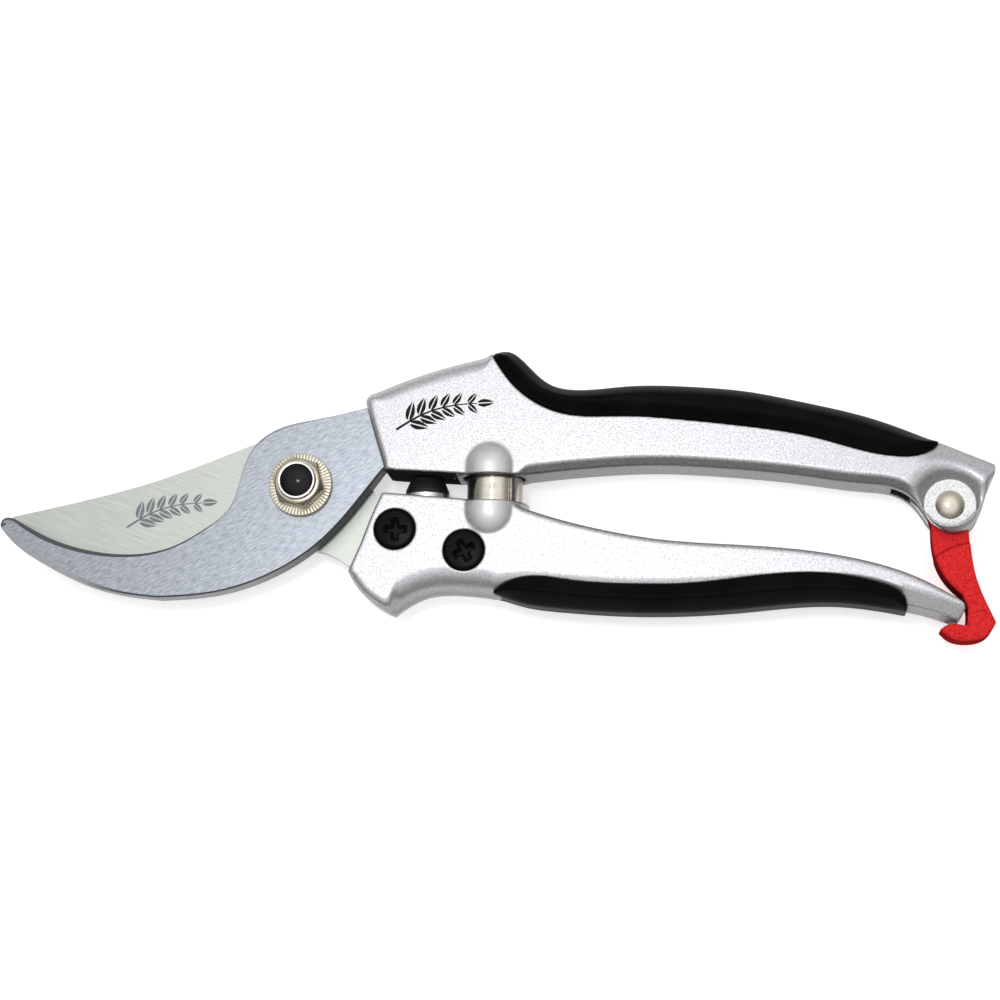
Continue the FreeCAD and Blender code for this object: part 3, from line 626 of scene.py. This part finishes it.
# The upper handle's screws are driven from the rear
for count, ((cx, cy), turn) in enumerate(zip(UPPER_SCREWS, (10.0, -20.0)), 1):
    pieces[f"upper_tang_screw_{count}"] = skin(
        f"upper_screw_{count}", lambda x, y, z: screw((cx, cy), math.radians(turn), x, y, 2 * MID - z),
        (cx - SCREW_BOX, cy - SCREW_BOX, 2 * MID - SCREW_HIGH),
        (cx + SCREW_BOX, cy + SCREW_BOX, 2 * MID - SCREW_LOW), SCREW_STEP)


# ---- the nut and its toothed washer ----
WASHER_TOP, NUT_TOP, COLLAR_TOP = 13.5, 17.1, 18.1
NUT_HALF, NUT_TURN, NUT_TOP_R = 4.95, 16, 4.6
COLLAR_R, BOLT_BORE = 3.9, 3.42
NUT_BOX, NUT_STEP = ((-6, -6, 13.3), (6, 6, 18.3)), 0.13


def nut(x, y, z):
    """A hexagon with its corners cut back at the top, and a round collar above it."""
    r = np.hypot(x, y)
    turns = np.radians(np.arange(6) * 60 + NUT_TURN)
    sides = np.max([x * math.cos(a) + y * math.sin(a) for a in turns], axis=0) - NUT_HALF
    body = both(both(sides, (r - NUT_TOP_R + z - NUT_TOP) * math.sqrt(0.5), 0.3), z - NUT_TOP, 0.25)
    body = either(both(body, WASHER_TOP - z, 0.05), rolled(r - COLLAR_R, z - COLLAR_TOP, 0.12), 0.25)
    return less(both(body, WASHER_TOP - z, 0.05), r - BOLT_BORE, 0.05)


pieces["pivot_nut"] = skin("hex_nut", nut, *NUT_BOX, NUT_STEP)


TEETH_COUNT, TOOTH_SAMPLES, TOOTH_CUT, CUT_HALF = 56, 8, 0.10, 2.2
# Radius and Z of the washer's profile, and whether the cuts between the teeth lower that point
WASHER = [(BOLT_BORE, 12.02, False), (6.6, 12.02, False), (6.7, 12.15, False), (6.7, 13.3, True),
          (6.62, 13.42, True), (6.4, 13.48, True), (5.9, WASHER_TOP, True), (5.0, WASHER_TOP, True),
          (4.8, WASHER_TOP, False), (BOLT_BORE, WASHER_TOP, False)]


def toothed_washer():
    around = TEETH_COUNT * TOOTH_SAMPLES
    points, faces = [], []
    for i in range(around):
        angle = 2 * math.pi * i / around
        cut = TOOTH_CUT * max(0.0, 1 - abs(i % TOOTH_SAMPLES - TOOTH_SAMPLES / 2) / CUT_HALF)
        a, b = i * len(WASHER), (i + 1) % around * len(WASHER)
        for k, (r, z, toothed) in enumerate(WASHER):
            points.append((r * math.cos(angle), r * math.sin(angle), z - cut if toothed else z))
            following = (k + 1) % len(WASHER)
            faces.append((a + k, b + k, b + following, a + following))
    piece = make_mesh("toothed_washer", np.array(points), np.array(faces))
    piece.data.set_sharp_from_angle(angle=math.radians(35))
    return piece


pieces["serrated_washer"] = toothed_washer()


# ---- the volute spring: a strip rolled up, its inner turns longer than its outer ones ----
SPRING_R, STRIP, TURNS, TURN_STEP = 6.1, 0.5, 4.25, 0.62
SPRING_START = math.radians(42)
SPRING_LOW, SPRING_HIGH, SPRING_GROWTH = -4.7, 3.1, 4.8


def volute():
    count, rows = 64 * 4, 9
    points, faces = [], []
    for i in range(count + 1):
        s = i / count
        angle = SPRING_START + 2 * math.pi * TURNS * s
        radius = SPRING_R - TURN_STEP * TURNS * s
        growth = SPRING_GROWTH * s ** 0.8
        for y in np.linspace(SPRING_LOW - growth, SPRING_HIGH + growth, rows):
            for r in (radius, radius - STRIP):
                points.append((SPRING_X + r * math.sin(angle), y, MID + r * math.cos(angle)))
    ring = 2 * rows
    for i in range(count):
        for k in range(rows - 1):
            a, b = i * ring + 2 * k, (i + 1) * ring + 2 * k
            faces.append((a, a + 2, b + 2, b))
            faces.append((a + 1, b + 1, b + 3, a + 3))
        a, b = i * ring, (i + 1) * ring
        faces.append((a, b, b + 1, a + 1))
        a, b = a + ring - 2, b + ring - 2
        faces.append((a, a + 1, b + 1, b))
    for a, flip in ((0, 1), (count * ring, 0)):
        for k in range(rows - 1):
            quad = (a + 2 * k, a + 2 * k + 1, a + 2 * k + 3, a + 2 * k + 2)
            faces.append(quad if flip else quad[::-1])
    piece = make_mesh("rolled_spring", np.array(points), np.array(faces))
    piece.data.set_sharp_from_angle(angle=math.radians(40))
    return piece


spring = volute()
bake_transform(spring)
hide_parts("volute_spring")


# ---- a plain leaf sprig, printed on the upper handle and etched on the blade ----
INK_SUNK, INK_PROUD = 0.02, 0.025
STEM = [(-9.6, -1.6), (-4.0, 0.1), (2.0, 0.5), (7.4, -0.3)]
STEM_HALF = (0.24, 0.1)     # at its foot and at its tip
LEAF_PAIRS, LEAF_SPREAD, LEAF_WIDTH = 6, math.radians(46), 0.19
LEAF_LENGTH, LEAF_SHRINK, TOP_LEAF = 3.9, 0.26, 3.4


def sprig(name, place, turn, size, z, body):
    """A curved stem with paired leaves, each split along its middle, as thin raised ink."""
    bm = bmesh.new()

    def patch(outline):
        turned = [(place[0] + size * (px * math.cos(turn) - py * math.sin(turn)),
                   place[1] + size * (px * math.sin(turn) + py * math.cos(turn))) for px, py in outline]
        low = [bm.verts.new((px * MM, py * MM, (z - INK_SUNK) * MM)) for px, py in turned]
        high = [bm.verts.new((px * MM, py * MM, (z + INK_PROUD) * MM)) for px, py in turned]
        bm.faces.new(low[::-1])
        bm.faces.new(high)
        for i in range(len(low)):
            j = (i + 1) % len(low)
            bm.faces.new((low[i], low[j], high[j], high[i]))

    def leaf(base, angle, length):
        for side in (1, -1):
            arc = [(t, side * (0.045 + LEAF_WIDTH * math.sin(math.pi * t ** 0.8)))
                   for t in np.linspace(0.06, 1, 9)]
            spine = [(1.0, side * 0.03), (0.06, side * 0.03)]
            half_leaf = [(px * length, py * length) for px, py in arc + spine]
            if side < 0:
                half_leaf = half_leaf[::-1]
            patch([(base[0] + px * math.cos(angle) - py * math.sin(angle),
                    base[1] + px * math.sin(angle) + py * math.cos(angle)) for px, py in half_leaf])

    stem = smooth_line(STEM, 0.6)
    slope = np.gradient(stem, axis=0)
    slope /= np.linalg.norm(slope, axis=1)[:, None]
    heading = np.arctan2(slope[:, 1], slope[:, 0])
    across = np.stack([-slope[:, 1], slope[:, 0]], 1) * np.linspace(*STEM_HALF, len(stem))[:, None]
    near_side, far_side = stem - across, stem + across
    for i in range(len(stem) - 1):
        patch([near_side[i], near_side[i + 1], far_side[i + 1], far_side[i]])
    for number, i in enumerate(np.linspace(5, len(stem) - 4, LEAF_PAIRS).astype(int)):
        length = LEAF_LENGTH - LEAF_SHRINK * number
        for side in (1, -1):
            leaf(stem[i] + across[i] * side * 1.2, heading[i] + side * LEAF_SPREAD, length)
    leaf(stem[-1], heading[-1], TOP_LEAF)
    bmesh.ops.recalc_face_normals(bm, faces=bm.faces)
    mesh = bpy.data.meshes.new(name)
    bm.to_mesh(mesh)
    bm.free()
    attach(put(name, mesh), body)


sprig("sprig_print", (29.6, 15.6), math.radians(14), 1.05, 14.3, "upper")
sprig("sprig_etch", (-29.6, -4.2), math.radians(14), 1.0, 7.0, "lower")

# The body of each piece whose node's name doesn't start with it
BODIES = {"counter_blade": "upper", "pivot_nut": "upper", "serrated_washer": "upper"}
for node, piece in pieces.items():
    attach(piece, BODIES.get(node, node.split("_")[0]))
    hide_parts(node)


# ---- materials ----
def new_material(name, color, metallic, roughness):
    m = bpy.data.materials.new(name)
    m.use_nodes = True
    shader = m.node_tree.nodes["Principled BSDF"]
    shader.inputs["Base Color"].default_value = (*color, 1)
    shader.inputs["Metallic"].default_value = metallic
    shader.inputs["Roughness"].default_value = roughness
    return m, m.node_tree, shader


def add(tree, kind, **settings):
    node = tree.nodes.new(kind)
    for key, value in settings.items():
        if key in node.inputs:
            node.inputs[key].default_value = value
        else:
            setattr(node, key, value)
    return node


def coords(tree, scale=(1, 1, 1), turn=0.0):
    """Positions in millimetres, turned about Z and then stretched."""
    place = add(tree, "ShaderNodeTexCoord")
    spin = add(tree, "ShaderNodeMapping")
    spin.inputs["Rotation"].default_value = (0, 0, -turn)
    spin.inputs["Scale"].default_value = (1000, 1000, 1000)
    stretch = add(tree, "ShaderNodeMapping")
    stretch.inputs["Scale"].default_value = scale
    tree.links.new(place.outputs["Object"], spin.inputs["Vector"])
    tree.links.new(spin.outputs["Vector"], stretch.inputs["Vector"])
    return stretch.outputs["Vector"]


def noise(tree, vector, scale, detail=2.0, roughness=0.5):
    n = add(tree, "ShaderNodeTexNoise")
    n.inputs["Scale"].default_value = scale
    n.inputs["Detail"].default_value = detail
    n.inputs["Roughness"].default_value = roughness
    tree.links.new(vector, n.inputs["Vector"])
    return n.outputs["Fac"]


def ramp(tree, factor, *stops):
    r = add(tree, "ShaderNodeValToRGB")
    elements = r.color_ramp.elements
    elements[0].position, elements[1].position = stops[0][0], stops[-1][0]
    for position, _ in stops[1:-1]:
        elements.new(position)
    for element, (_, color) in zip(elements, stops):
        element.color = (*color, 1)
    tree.links.new(factor, r.inputs["Fac"])
    return r.outputs["Color"]


def span(tree, factor, low, high, from_low=0.0, from_high=1.0, kind="LINEAR"):
    r = add(tree, "ShaderNodeMapRange", interpolation_type=kind)
    r.inputs["From Min"].default_value = from_low
    r.inputs["From Max"].default_value = from_high
    r.inputs["To Min"].default_value = low
    r.inputs["To Max"].default_value = high
    tree.links.new(factor, r.inputs["Value"])
    return r.outputs["Result"]


def bump(tree, shader, height, strength, distance):
    b = add(tree, "ShaderNodeBump")
    b.inputs["Strength"].default_value = strength
    b.inputs["Distance"].default_value = distance * MM
    tree.links.new(height, b.inputs["Height"])
    tree.links.new(b.outputs["Normal"], shader.inputs["Normal"])


def vary_roughness(tree, shader, factor, low, high, from_low=0.3, from_high=0.7):
    tree.links.new(span(tree, factor, low, high, from_low, from_high), shader.inputs["Roughness"])


def grey(v):
    return (v, v, v)


def part_of(tree, vector, axis):
    """One of a vector's three values."""
    split = add(tree, "ShaderNodeSeparateXYZ")
    tree.links.new(vector, split.inputs["Vector"])
    return split.outputs[axis]


def times(tree, color, factor):
    scaled = add(tree, "ShaderNodeVectorMath", operation="SCALE")
    tree.links.new(color, scaled.inputs[0])
    tree.links.new(factor, scaled.inputs["Scale"])
    return scaled.outputs["Vector"]


def painted_side_shade(tree, color, tone):
    """Painted shade: the colour, darker where the surface turns away from the front and the rear."""
    place = add(tree, "ShaderNodeTexCoord")
    level = add(tree, "ShaderNodeMath", operation="ABSOLUTE")
    tree.links.new(part_of(tree, place.outputs["Normal"], "Z"), level.inputs[0])
    return times(tree, color, span(tree, level.outputs["Value"], tone, 1.0, 0.15, 0.75, "SMOOTHSTEP"))


def paint_material():
    m, tree, shader = new_material("silver_paint", (0.62, 0.62, 0.635), 0.9, 0.4)
    grain = noise(tree, coords(tree), 3.2, 2.0)
    speck = noise(tree, coords(tree), 2.3, 3.0, 0.7)
    color = ramp(tree, speck, (0.34, (0.33, 0.325, 0.355)), (0.5, (0.425, 0.425, 0.44)),
                 (0.66, (0.49, 0.49, 0.50)))
    # Painted shade: the walls that turn away from the front and the rear are darkened to half
    tree.links.new(painted_side_shade(tree, color, 0.5), shader.inputs["Base Color"])
    vary_roughness(tree, shader, grain, 0.3, 0.5)
    bump(tree, shader, grain, 0.35, 0.08)
    return m


def grip_material():
    m, tree, shader = new_material("black_grip", (0.004, 0.004, 0.004), 0.0, 0.42)
    shader.inputs["Specular IOR Level"].default_value = 0.015
    fine = noise(tree, coords(tree), 2.4, 3.0)
    broad = noise(tree, coords(tree), 0.12, 2.0)
    color = ramp(tree, broad, (0.3, grey(0.0025)), (0.7, grey(0.005)))
    tree.links.new(color, shader.inputs["Base Color"])
    vary_roughness(tree, shader, fine, 0.3, 0.42, 0.0, 1.0)
    bump(tree, shader, fine, 0.12, 0.05)
    return m


def brushed(name, dark, light, stretch, roughness, contrast=(0.3, 0.7), painted_light=None, metallic=1.0, turn=0.0):
    """Ground steel, streaked in colour, roughness and height; painted light: two places in X, then their
    tones.
    """
    m, tree, shader = new_material(name, light, metallic, roughness)
    streaks = noise(tree, coords(tree, stretch, math.radians(turn)), 1.0, 6.0, 0.75)
    color = ramp(tree, streaks, (contrast[0], dark), (contrast[1], light))
    if painted_light:
        place = add(tree, "ShaderNodeTexCoord")
        x_low, x_high, tone_low, tone_high = painted_light
        x = part_of(tree, place.outputs["Object"], "X")
        color = times(tree, color, span(tree, x, tone_low, tone_high, x_low * MM, x_high * MM))
    tree.links.new(color, shader.inputs["Base Color"])
    vary_roughness(tree, shader, streaks, roughness * 0.8, roughness * 1.25)
    bump(tree, shader, streaks, 0.12, 0.03)
    return m


def plain_metal(name, color, roughness, wear=0.15, metallic=1.0):
    m, tree, shader = new_material(name, color, metallic, roughness)
    mottle = noise(tree, coords(tree), 0.8, 3.0)
    color_out = ramp(tree, mottle, (0.3, tuple(c * (1 - wear) for c in color)), (0.7, color))
    tree.links.new(color_out, shader.inputs["Base Color"])
    vary_roughness(tree, shader, mottle, roughness * 0.75, roughness * 1.3)
    return m


def moulded(name, dark, light, roughness, scale=1.2, depth=0.06, specular=0.5, sides=1.0):
    m, tree, shader = new_material(name, light, 0.0, roughness)
    shader.inputs["Specular IOR Level"].default_value = specular
    mottle = noise(tree, coords(tree), scale, 4.0, 0.6)
    color = ramp(tree, mottle, (0.3, dark), (0.7, light))
    # sides below 1 paints shade: the colour is darker on walls that turn away from the front and the rear
    if sides < 1:
        color = painted_side_shade(tree, color, sides)
    tree.links.new(color, shader.inputs["Base Color"])
    vary_roughness(tree, shader, mottle, roughness * 0.8, roughness * 1.2)
    bump(tree, shader, mottle, 0.3, depth)
    return m


PAINT = paint_material()
GRIP = grip_material()
STREAKS = (0.5, 3.0, 1.0)   # how a streaked finish is stretched
BLADE = brushed("blade_steel", (0.26, 0.28, 0.255), (0.40, 0.42, 0.395), (0.12, 3.0, 1.0), 0.38, turn=-20)
# Painted shade on the hook: its colour is darker towards the tip
HOOK = brushed("hook_steel", (0.14, 0.155, 0.18), (0.355, 0.375, 0.41), (0.5, 3.6, 1.0), 0.34,
               contrast=(0.35, 0.65), painted_light=(-60, 15, 0.87, 1.0), turn=29)
# Painted shade on the hook's walls below: dark grey, near black towards the tang
WALL = brushed("hook_sides", (0.14, 0.145, 0.15), (0.22, 0.225, 0.23), STREAKS, 0.4,
               painted_light=(-10, 4, 1.0, 0.06))
# Painted light on the bevel along the hook's back: near black as painted shade, and near white at the tip as
# a painted highlight
BEVEL = brushed("hook_bevel", (0.045, 0.047, 0.05), (0.07, 0.073, 0.077), STREAKS, 0.4,
                painted_light=(-46, -37, 5.8, 1.0), metallic=0.25)
# Painted shade: a near-black steel for the hook mouth's bevel and the spring's left side
PAINTED_SHADE_STEEL = brushed("steel_painted_shade", (0.06, 0.07, 0.07), (0.11, 0.12, 0.12), STREAKS, 0.4)
BOSS = plain_metal("boss_paint", (0.5, 0.5, 0.505), 0.38, 0.1, metallic=0.75)
# Nickel for the nut; it also paints shade on the spring's right side
NICKEL_AND_SPRING_SHADE = plain_metal("nickel_and_spring_shade", (0.36, 0.33, 0.26), 0.22)
TEETH = plain_metal("toothed_steel", (0.60, 0.56, 0.46), 0.4)
COLLAR_PAINTED_HIGHLIGHT = plain_metal("collar_painted_highlight", (0.9, 0.89, 0.87), 0.12)
PEARL = plain_metal("rivet_steel", (0.60, 0.55, 0.46), 0.24)
# Painted shade: a near-black for the casting where shade falls
PAINTED_SHADE = moulded("casting_painted_shade", grey(0.022), grey(0.04), 0.6, specular=0.0)
# Black ink for the print, also used as painted shade in the screws' recesses
INK_AND_RECESS_SHADE = moulded("ink", grey(0.006), grey(0.012), 0.6, specular=0.1)
ETCH = moulded("etch", (0.14, 0.15, 0.16), (0.2, 0.21, 0.22), 0.6, specular=0.2)
BLACK = moulded("black_steel", grey(0.001), grey(0.004), 0.3, 2.5, 0.03, 0.05)
GLOSS = moulded("black_dome", (0.003, 0.002, 0.003), (0.006, 0.004, 0.006), 0.14, 1.0, 0.01, 0.2)
RUBBER = moulded("rubber", grey(0.006), grey(0.012), 0.5, specular=0.2)
STEEL = plain_metal("plain_steel", (0.6, 0.6, 0.6), 0.3)
SPRING = plain_metal("spring_steel", (0.56, 0.53, 0.46), 0.14)
# The red latch, with painted shade on its side walls
RED = moulded("red_latch", (0.42, 0.012, 0.014), (0.78, 0.036, 0.038), 0.45, 2.2, specular=0.0,
              sides=0.42)
PALE = moulded("pale_washer", grey(0.5), grey(0.95), 0.5, 2.6)

finishes = {
    "upper_casting": PAINT, "lower_casting": PAINT, "upper_grip_cover": GRIP, "lower_grip_cover": GRIP,
    "cutting_blade": BLADE, "counter_blade_steel": HOOK, "hex_nut": NICKEL_AND_SPRING_SHADE, "toothed_washer": TEETH,
    "pivot_bolt": GLOSS, "thrust_washer": STEEL, "lower_screw_1": BLACK, "lower_screw_2": BLACK,
    "upper_screw_1": BLACK, "upper_screw_2": BLACK, "sprig_print": INK_AND_RECESS_SHADE, "sprig_etch": ETCH,
    "stop_bumper": RUBBER, "stop_seat": STEEL, "rolled_spring": SPRING, "latch_hook": RED,
    "latch_rivet": PEARL, "latch_washer_front": PALE, "latch_washer_rear": PALE, "latch_wave_washer": STEEL,
}
for name, finish in finishes.items():
    mesh = bpy.data.objects[name].data
    mesh.materials.clear()
    mesh.materials.append(finish)


def repaint(name, finish, chosen):
    """Gives a second finish to the faces that are chosen by their centre, in mm, and their normal."""
    mesh = bpy.data.objects[name].data
    mesh.materials.append(finish)
    centre, normal = (np.empty(len(mesh.polygons) * 3, np.float32) for _ in range(2))
    mesh.polygons.foreach_get("center", centre)
    mesh.polygons.foreach_get("normal", normal)
    hit = chosen(*(centre.reshape(-1, 3).T / MM), *normal.reshape(-1, 3).T)
    index = np.zeros(len(mesh.polygons), np.int32)
    mesh.polygons.foreach_get("material_index", index)
    index[hit] = len(mesh.materials) - 1
    mesh.polygons.foreach_set("material_index", index)


# Painted light on the hook: shade on the bevel of its mouth and its walls below, and on the bevel along its
# back shade with a highlight at the tip
repaint("counter_blade_steel", PAINTED_SHADE_STEEL,
        lambda x, y, z, nx, ny, nz: (ny > 0.25) & (nz < 0.95) & (x > -64.4) & (x < -19.0) & (y < -6.0))
repaint("counter_blade_steel", WALL, lambda x, y, z, nx, ny, nz: (np.abs(nz) < 0.2) & (ny < -0.2))
repaint("counter_blade_steel", BEVEL, lambda x, y, z, nx, ny, nz: (nz < 0.95) & (nz > 0.2) & (ny < -0.2))
# The socket bosses, smoother than the castings
for side, levels in (("upper", UPPER_BULGE), ("lower", LOWER_BULGE)):
    mouth, way = levels[0], math.copysign(1, levels[0])
    repaint(f"{side}_casting", BOSS, lambda x, y, z, nx, ny, nz:
            (bulge(x, y, z, *levels) < 0.15) & (way * (y - mouth) > 0.3))
# Painted shade on the spring's strip: darker at both of its sides
repaint("rolled_spring", PAINTED_SHADE_STEEL, lambda x, y, z, nx, ny, nz: x < SPRING_X - 3.7)
repaint("rolled_spring", NICKEL_AND_SPRING_SHADE, lambda x, y, z, nx, ny, nz: x > SPRING_X + 5.4)
# Painted shade in the screws' cross recesses, inside the castings' faces
RECESS_SHADE_R = 3.4
for side, screws in (("lower", LOWER_SCREWS), ("upper", UPPER_SCREWS)):
    for count, centre in enumerate(screws, 1):
        repaint(f"{side}_screw_{count}", INK_AND_RECESS_SHADE, lambda x, y, z, nx, ny, nz:
                (bore(x, y, centre, RECESS_SHADE_R) < 0) & (np.abs(z - MID) < CAST_HALF))
# Painted highlight: the top of the nut's collar in a near-white metal
repaint("hex_nut", COLLAR_PAINTED_HIGHLIGHT, lambda x, y, z, nx, ny, nz:
        (z > NUT_TOP + 0.4) & (np.hypot(x, y) < COLLAR_R + 0.1))
# Painted shade in the fork's slot and on the wall under the upper handle's front
repaint("upper_casting", PAINTED_SHADE, lambda x, y, z, nx, ny, nz:
        (np.abs(z - MID) < FORK_HALF + 0.06) & (x > FORK_X - 0.2) & (x < FORK_X + 4.0) & (y < FORK_Y + 0.2))
repaint("upper_casting", PAINTED_SHADE, lambda x, y, z, nx, ny, nz: (ny < -0.75) & (x < 33.0) & (y < 4.0))

# ---- floor, light, camera ----
FLOOR_HALF = 3.0            # metres
floor_mesh = bpy.data.meshes.new("floor")
corners = [(u * FLOOR_HALF, v * FLOOR_HALF, 0) for u, v in ((-1, -1), (1, -1), (1, 1), (-1, 1))]
floor_mesh.from_pydata(corners, [], [(0, 1, 2, 3)])
floor = put("floor", floor_mesh)
floor_material, _, floor_shader = new_material("floor", grey(0.78), 0.0, 0.9)
floor_shader.inputs["Specular IOR Level"].default_value = 0.0
floor_shader.inputs["Emission Color"].default_value = (1, 1, 1, 1)
floor_shader.inputs["Emission Strength"].default_value = 0.5
floor_mesh.materials.append(floor_material)

SKY = ((0.0, (0.14, 0.14, 0.142)), (0.34, grey(0.14)), (0.60, grey(0.34)), (0.80, grey(0.85)),
       (0.92, grey(1.0)), (1.0, grey(1.0)))


def studio():
    """A sky that brightens towards its top, with a glow all along its +Y side."""
    world = bpy.data.worlds.new("studio")
    bpy.context.scene.world = world
    world.use_nodes = True
    tree = world.node_tree
    place = add(tree, "ShaderNodeTexCoord")
    sky = ramp(tree, part_of(tree, place.outputs["Generated"], "Z"), *SKY)
    glow = span(tree, part_of(tree, place.outputs["Generated"], "Y"), 0.0, 0.36, -0.1, 0.8, "SMOOTHSTEP")
    total = add(tree, "ShaderNodeVectorMath", operation="ADD")
    tree.links.new(sky, total.inputs[0])
    tree.links.new(glow, total.inputs[1])
    background = tree.nodes["Background"]
    tree.links.new(total.outputs["Vector"], background.inputs["Color"])
    background.inputs["Strength"].default_value = 1.4


studio()


def area_light(name, spot, target, size, power):
    data = bpy.data.lights.new(name, "AREA")
    data.shape = "RECTANGLE"
    data.size, data.size_y = size
    data.energy = power
    lamp = put(name, data)
    lamp.location = spot
    lamp.rotation_mode = "QUATERNION"
    lamp.rotation_quaternion = (Vector(target) - Vector(spot)).to_track_quat("-Z", "Y")


area_light("key", (0.005, 0.04, 0.62), (0.005, 0.0, 0.0), (0.07, 0.07), 0.7)

# The camera stands in front of the tool, a little below and to the right of its middle
CAMERA_EYE = (95.8035, -104.3314, 514.049)
CAMERA_LOOK = (42.0383, -2.6815, 10.0)
camera_data = bpy.data.cameras.new("camera")
camera = put("camera", camera_data)
camera_data.lens = 88.63
camera_data.sensor_width = 36.0
camera_data.clip_start, camera_data.clip_end = 0.01, 20
eye, look = Vector(CAMERA_EYE) * MM, Vector(CAMERA_LOOK) * MM
back = (eye - look).normalized()
right = (Vector((1, 0, 0)) - back * back.x).normalized()
up = back.cross(right)
camera.matrix_world = Matrix.Translation(eye) @ Matrix((right, up, back)).transposed().to_4x4()
bpy.context.scene.camera = camera

scene = bpy.context.scene
scene.view_settings.view_transform = "Standard"
scene.view_settings.look = "None"
scene.view_settings.exposure = 0.0
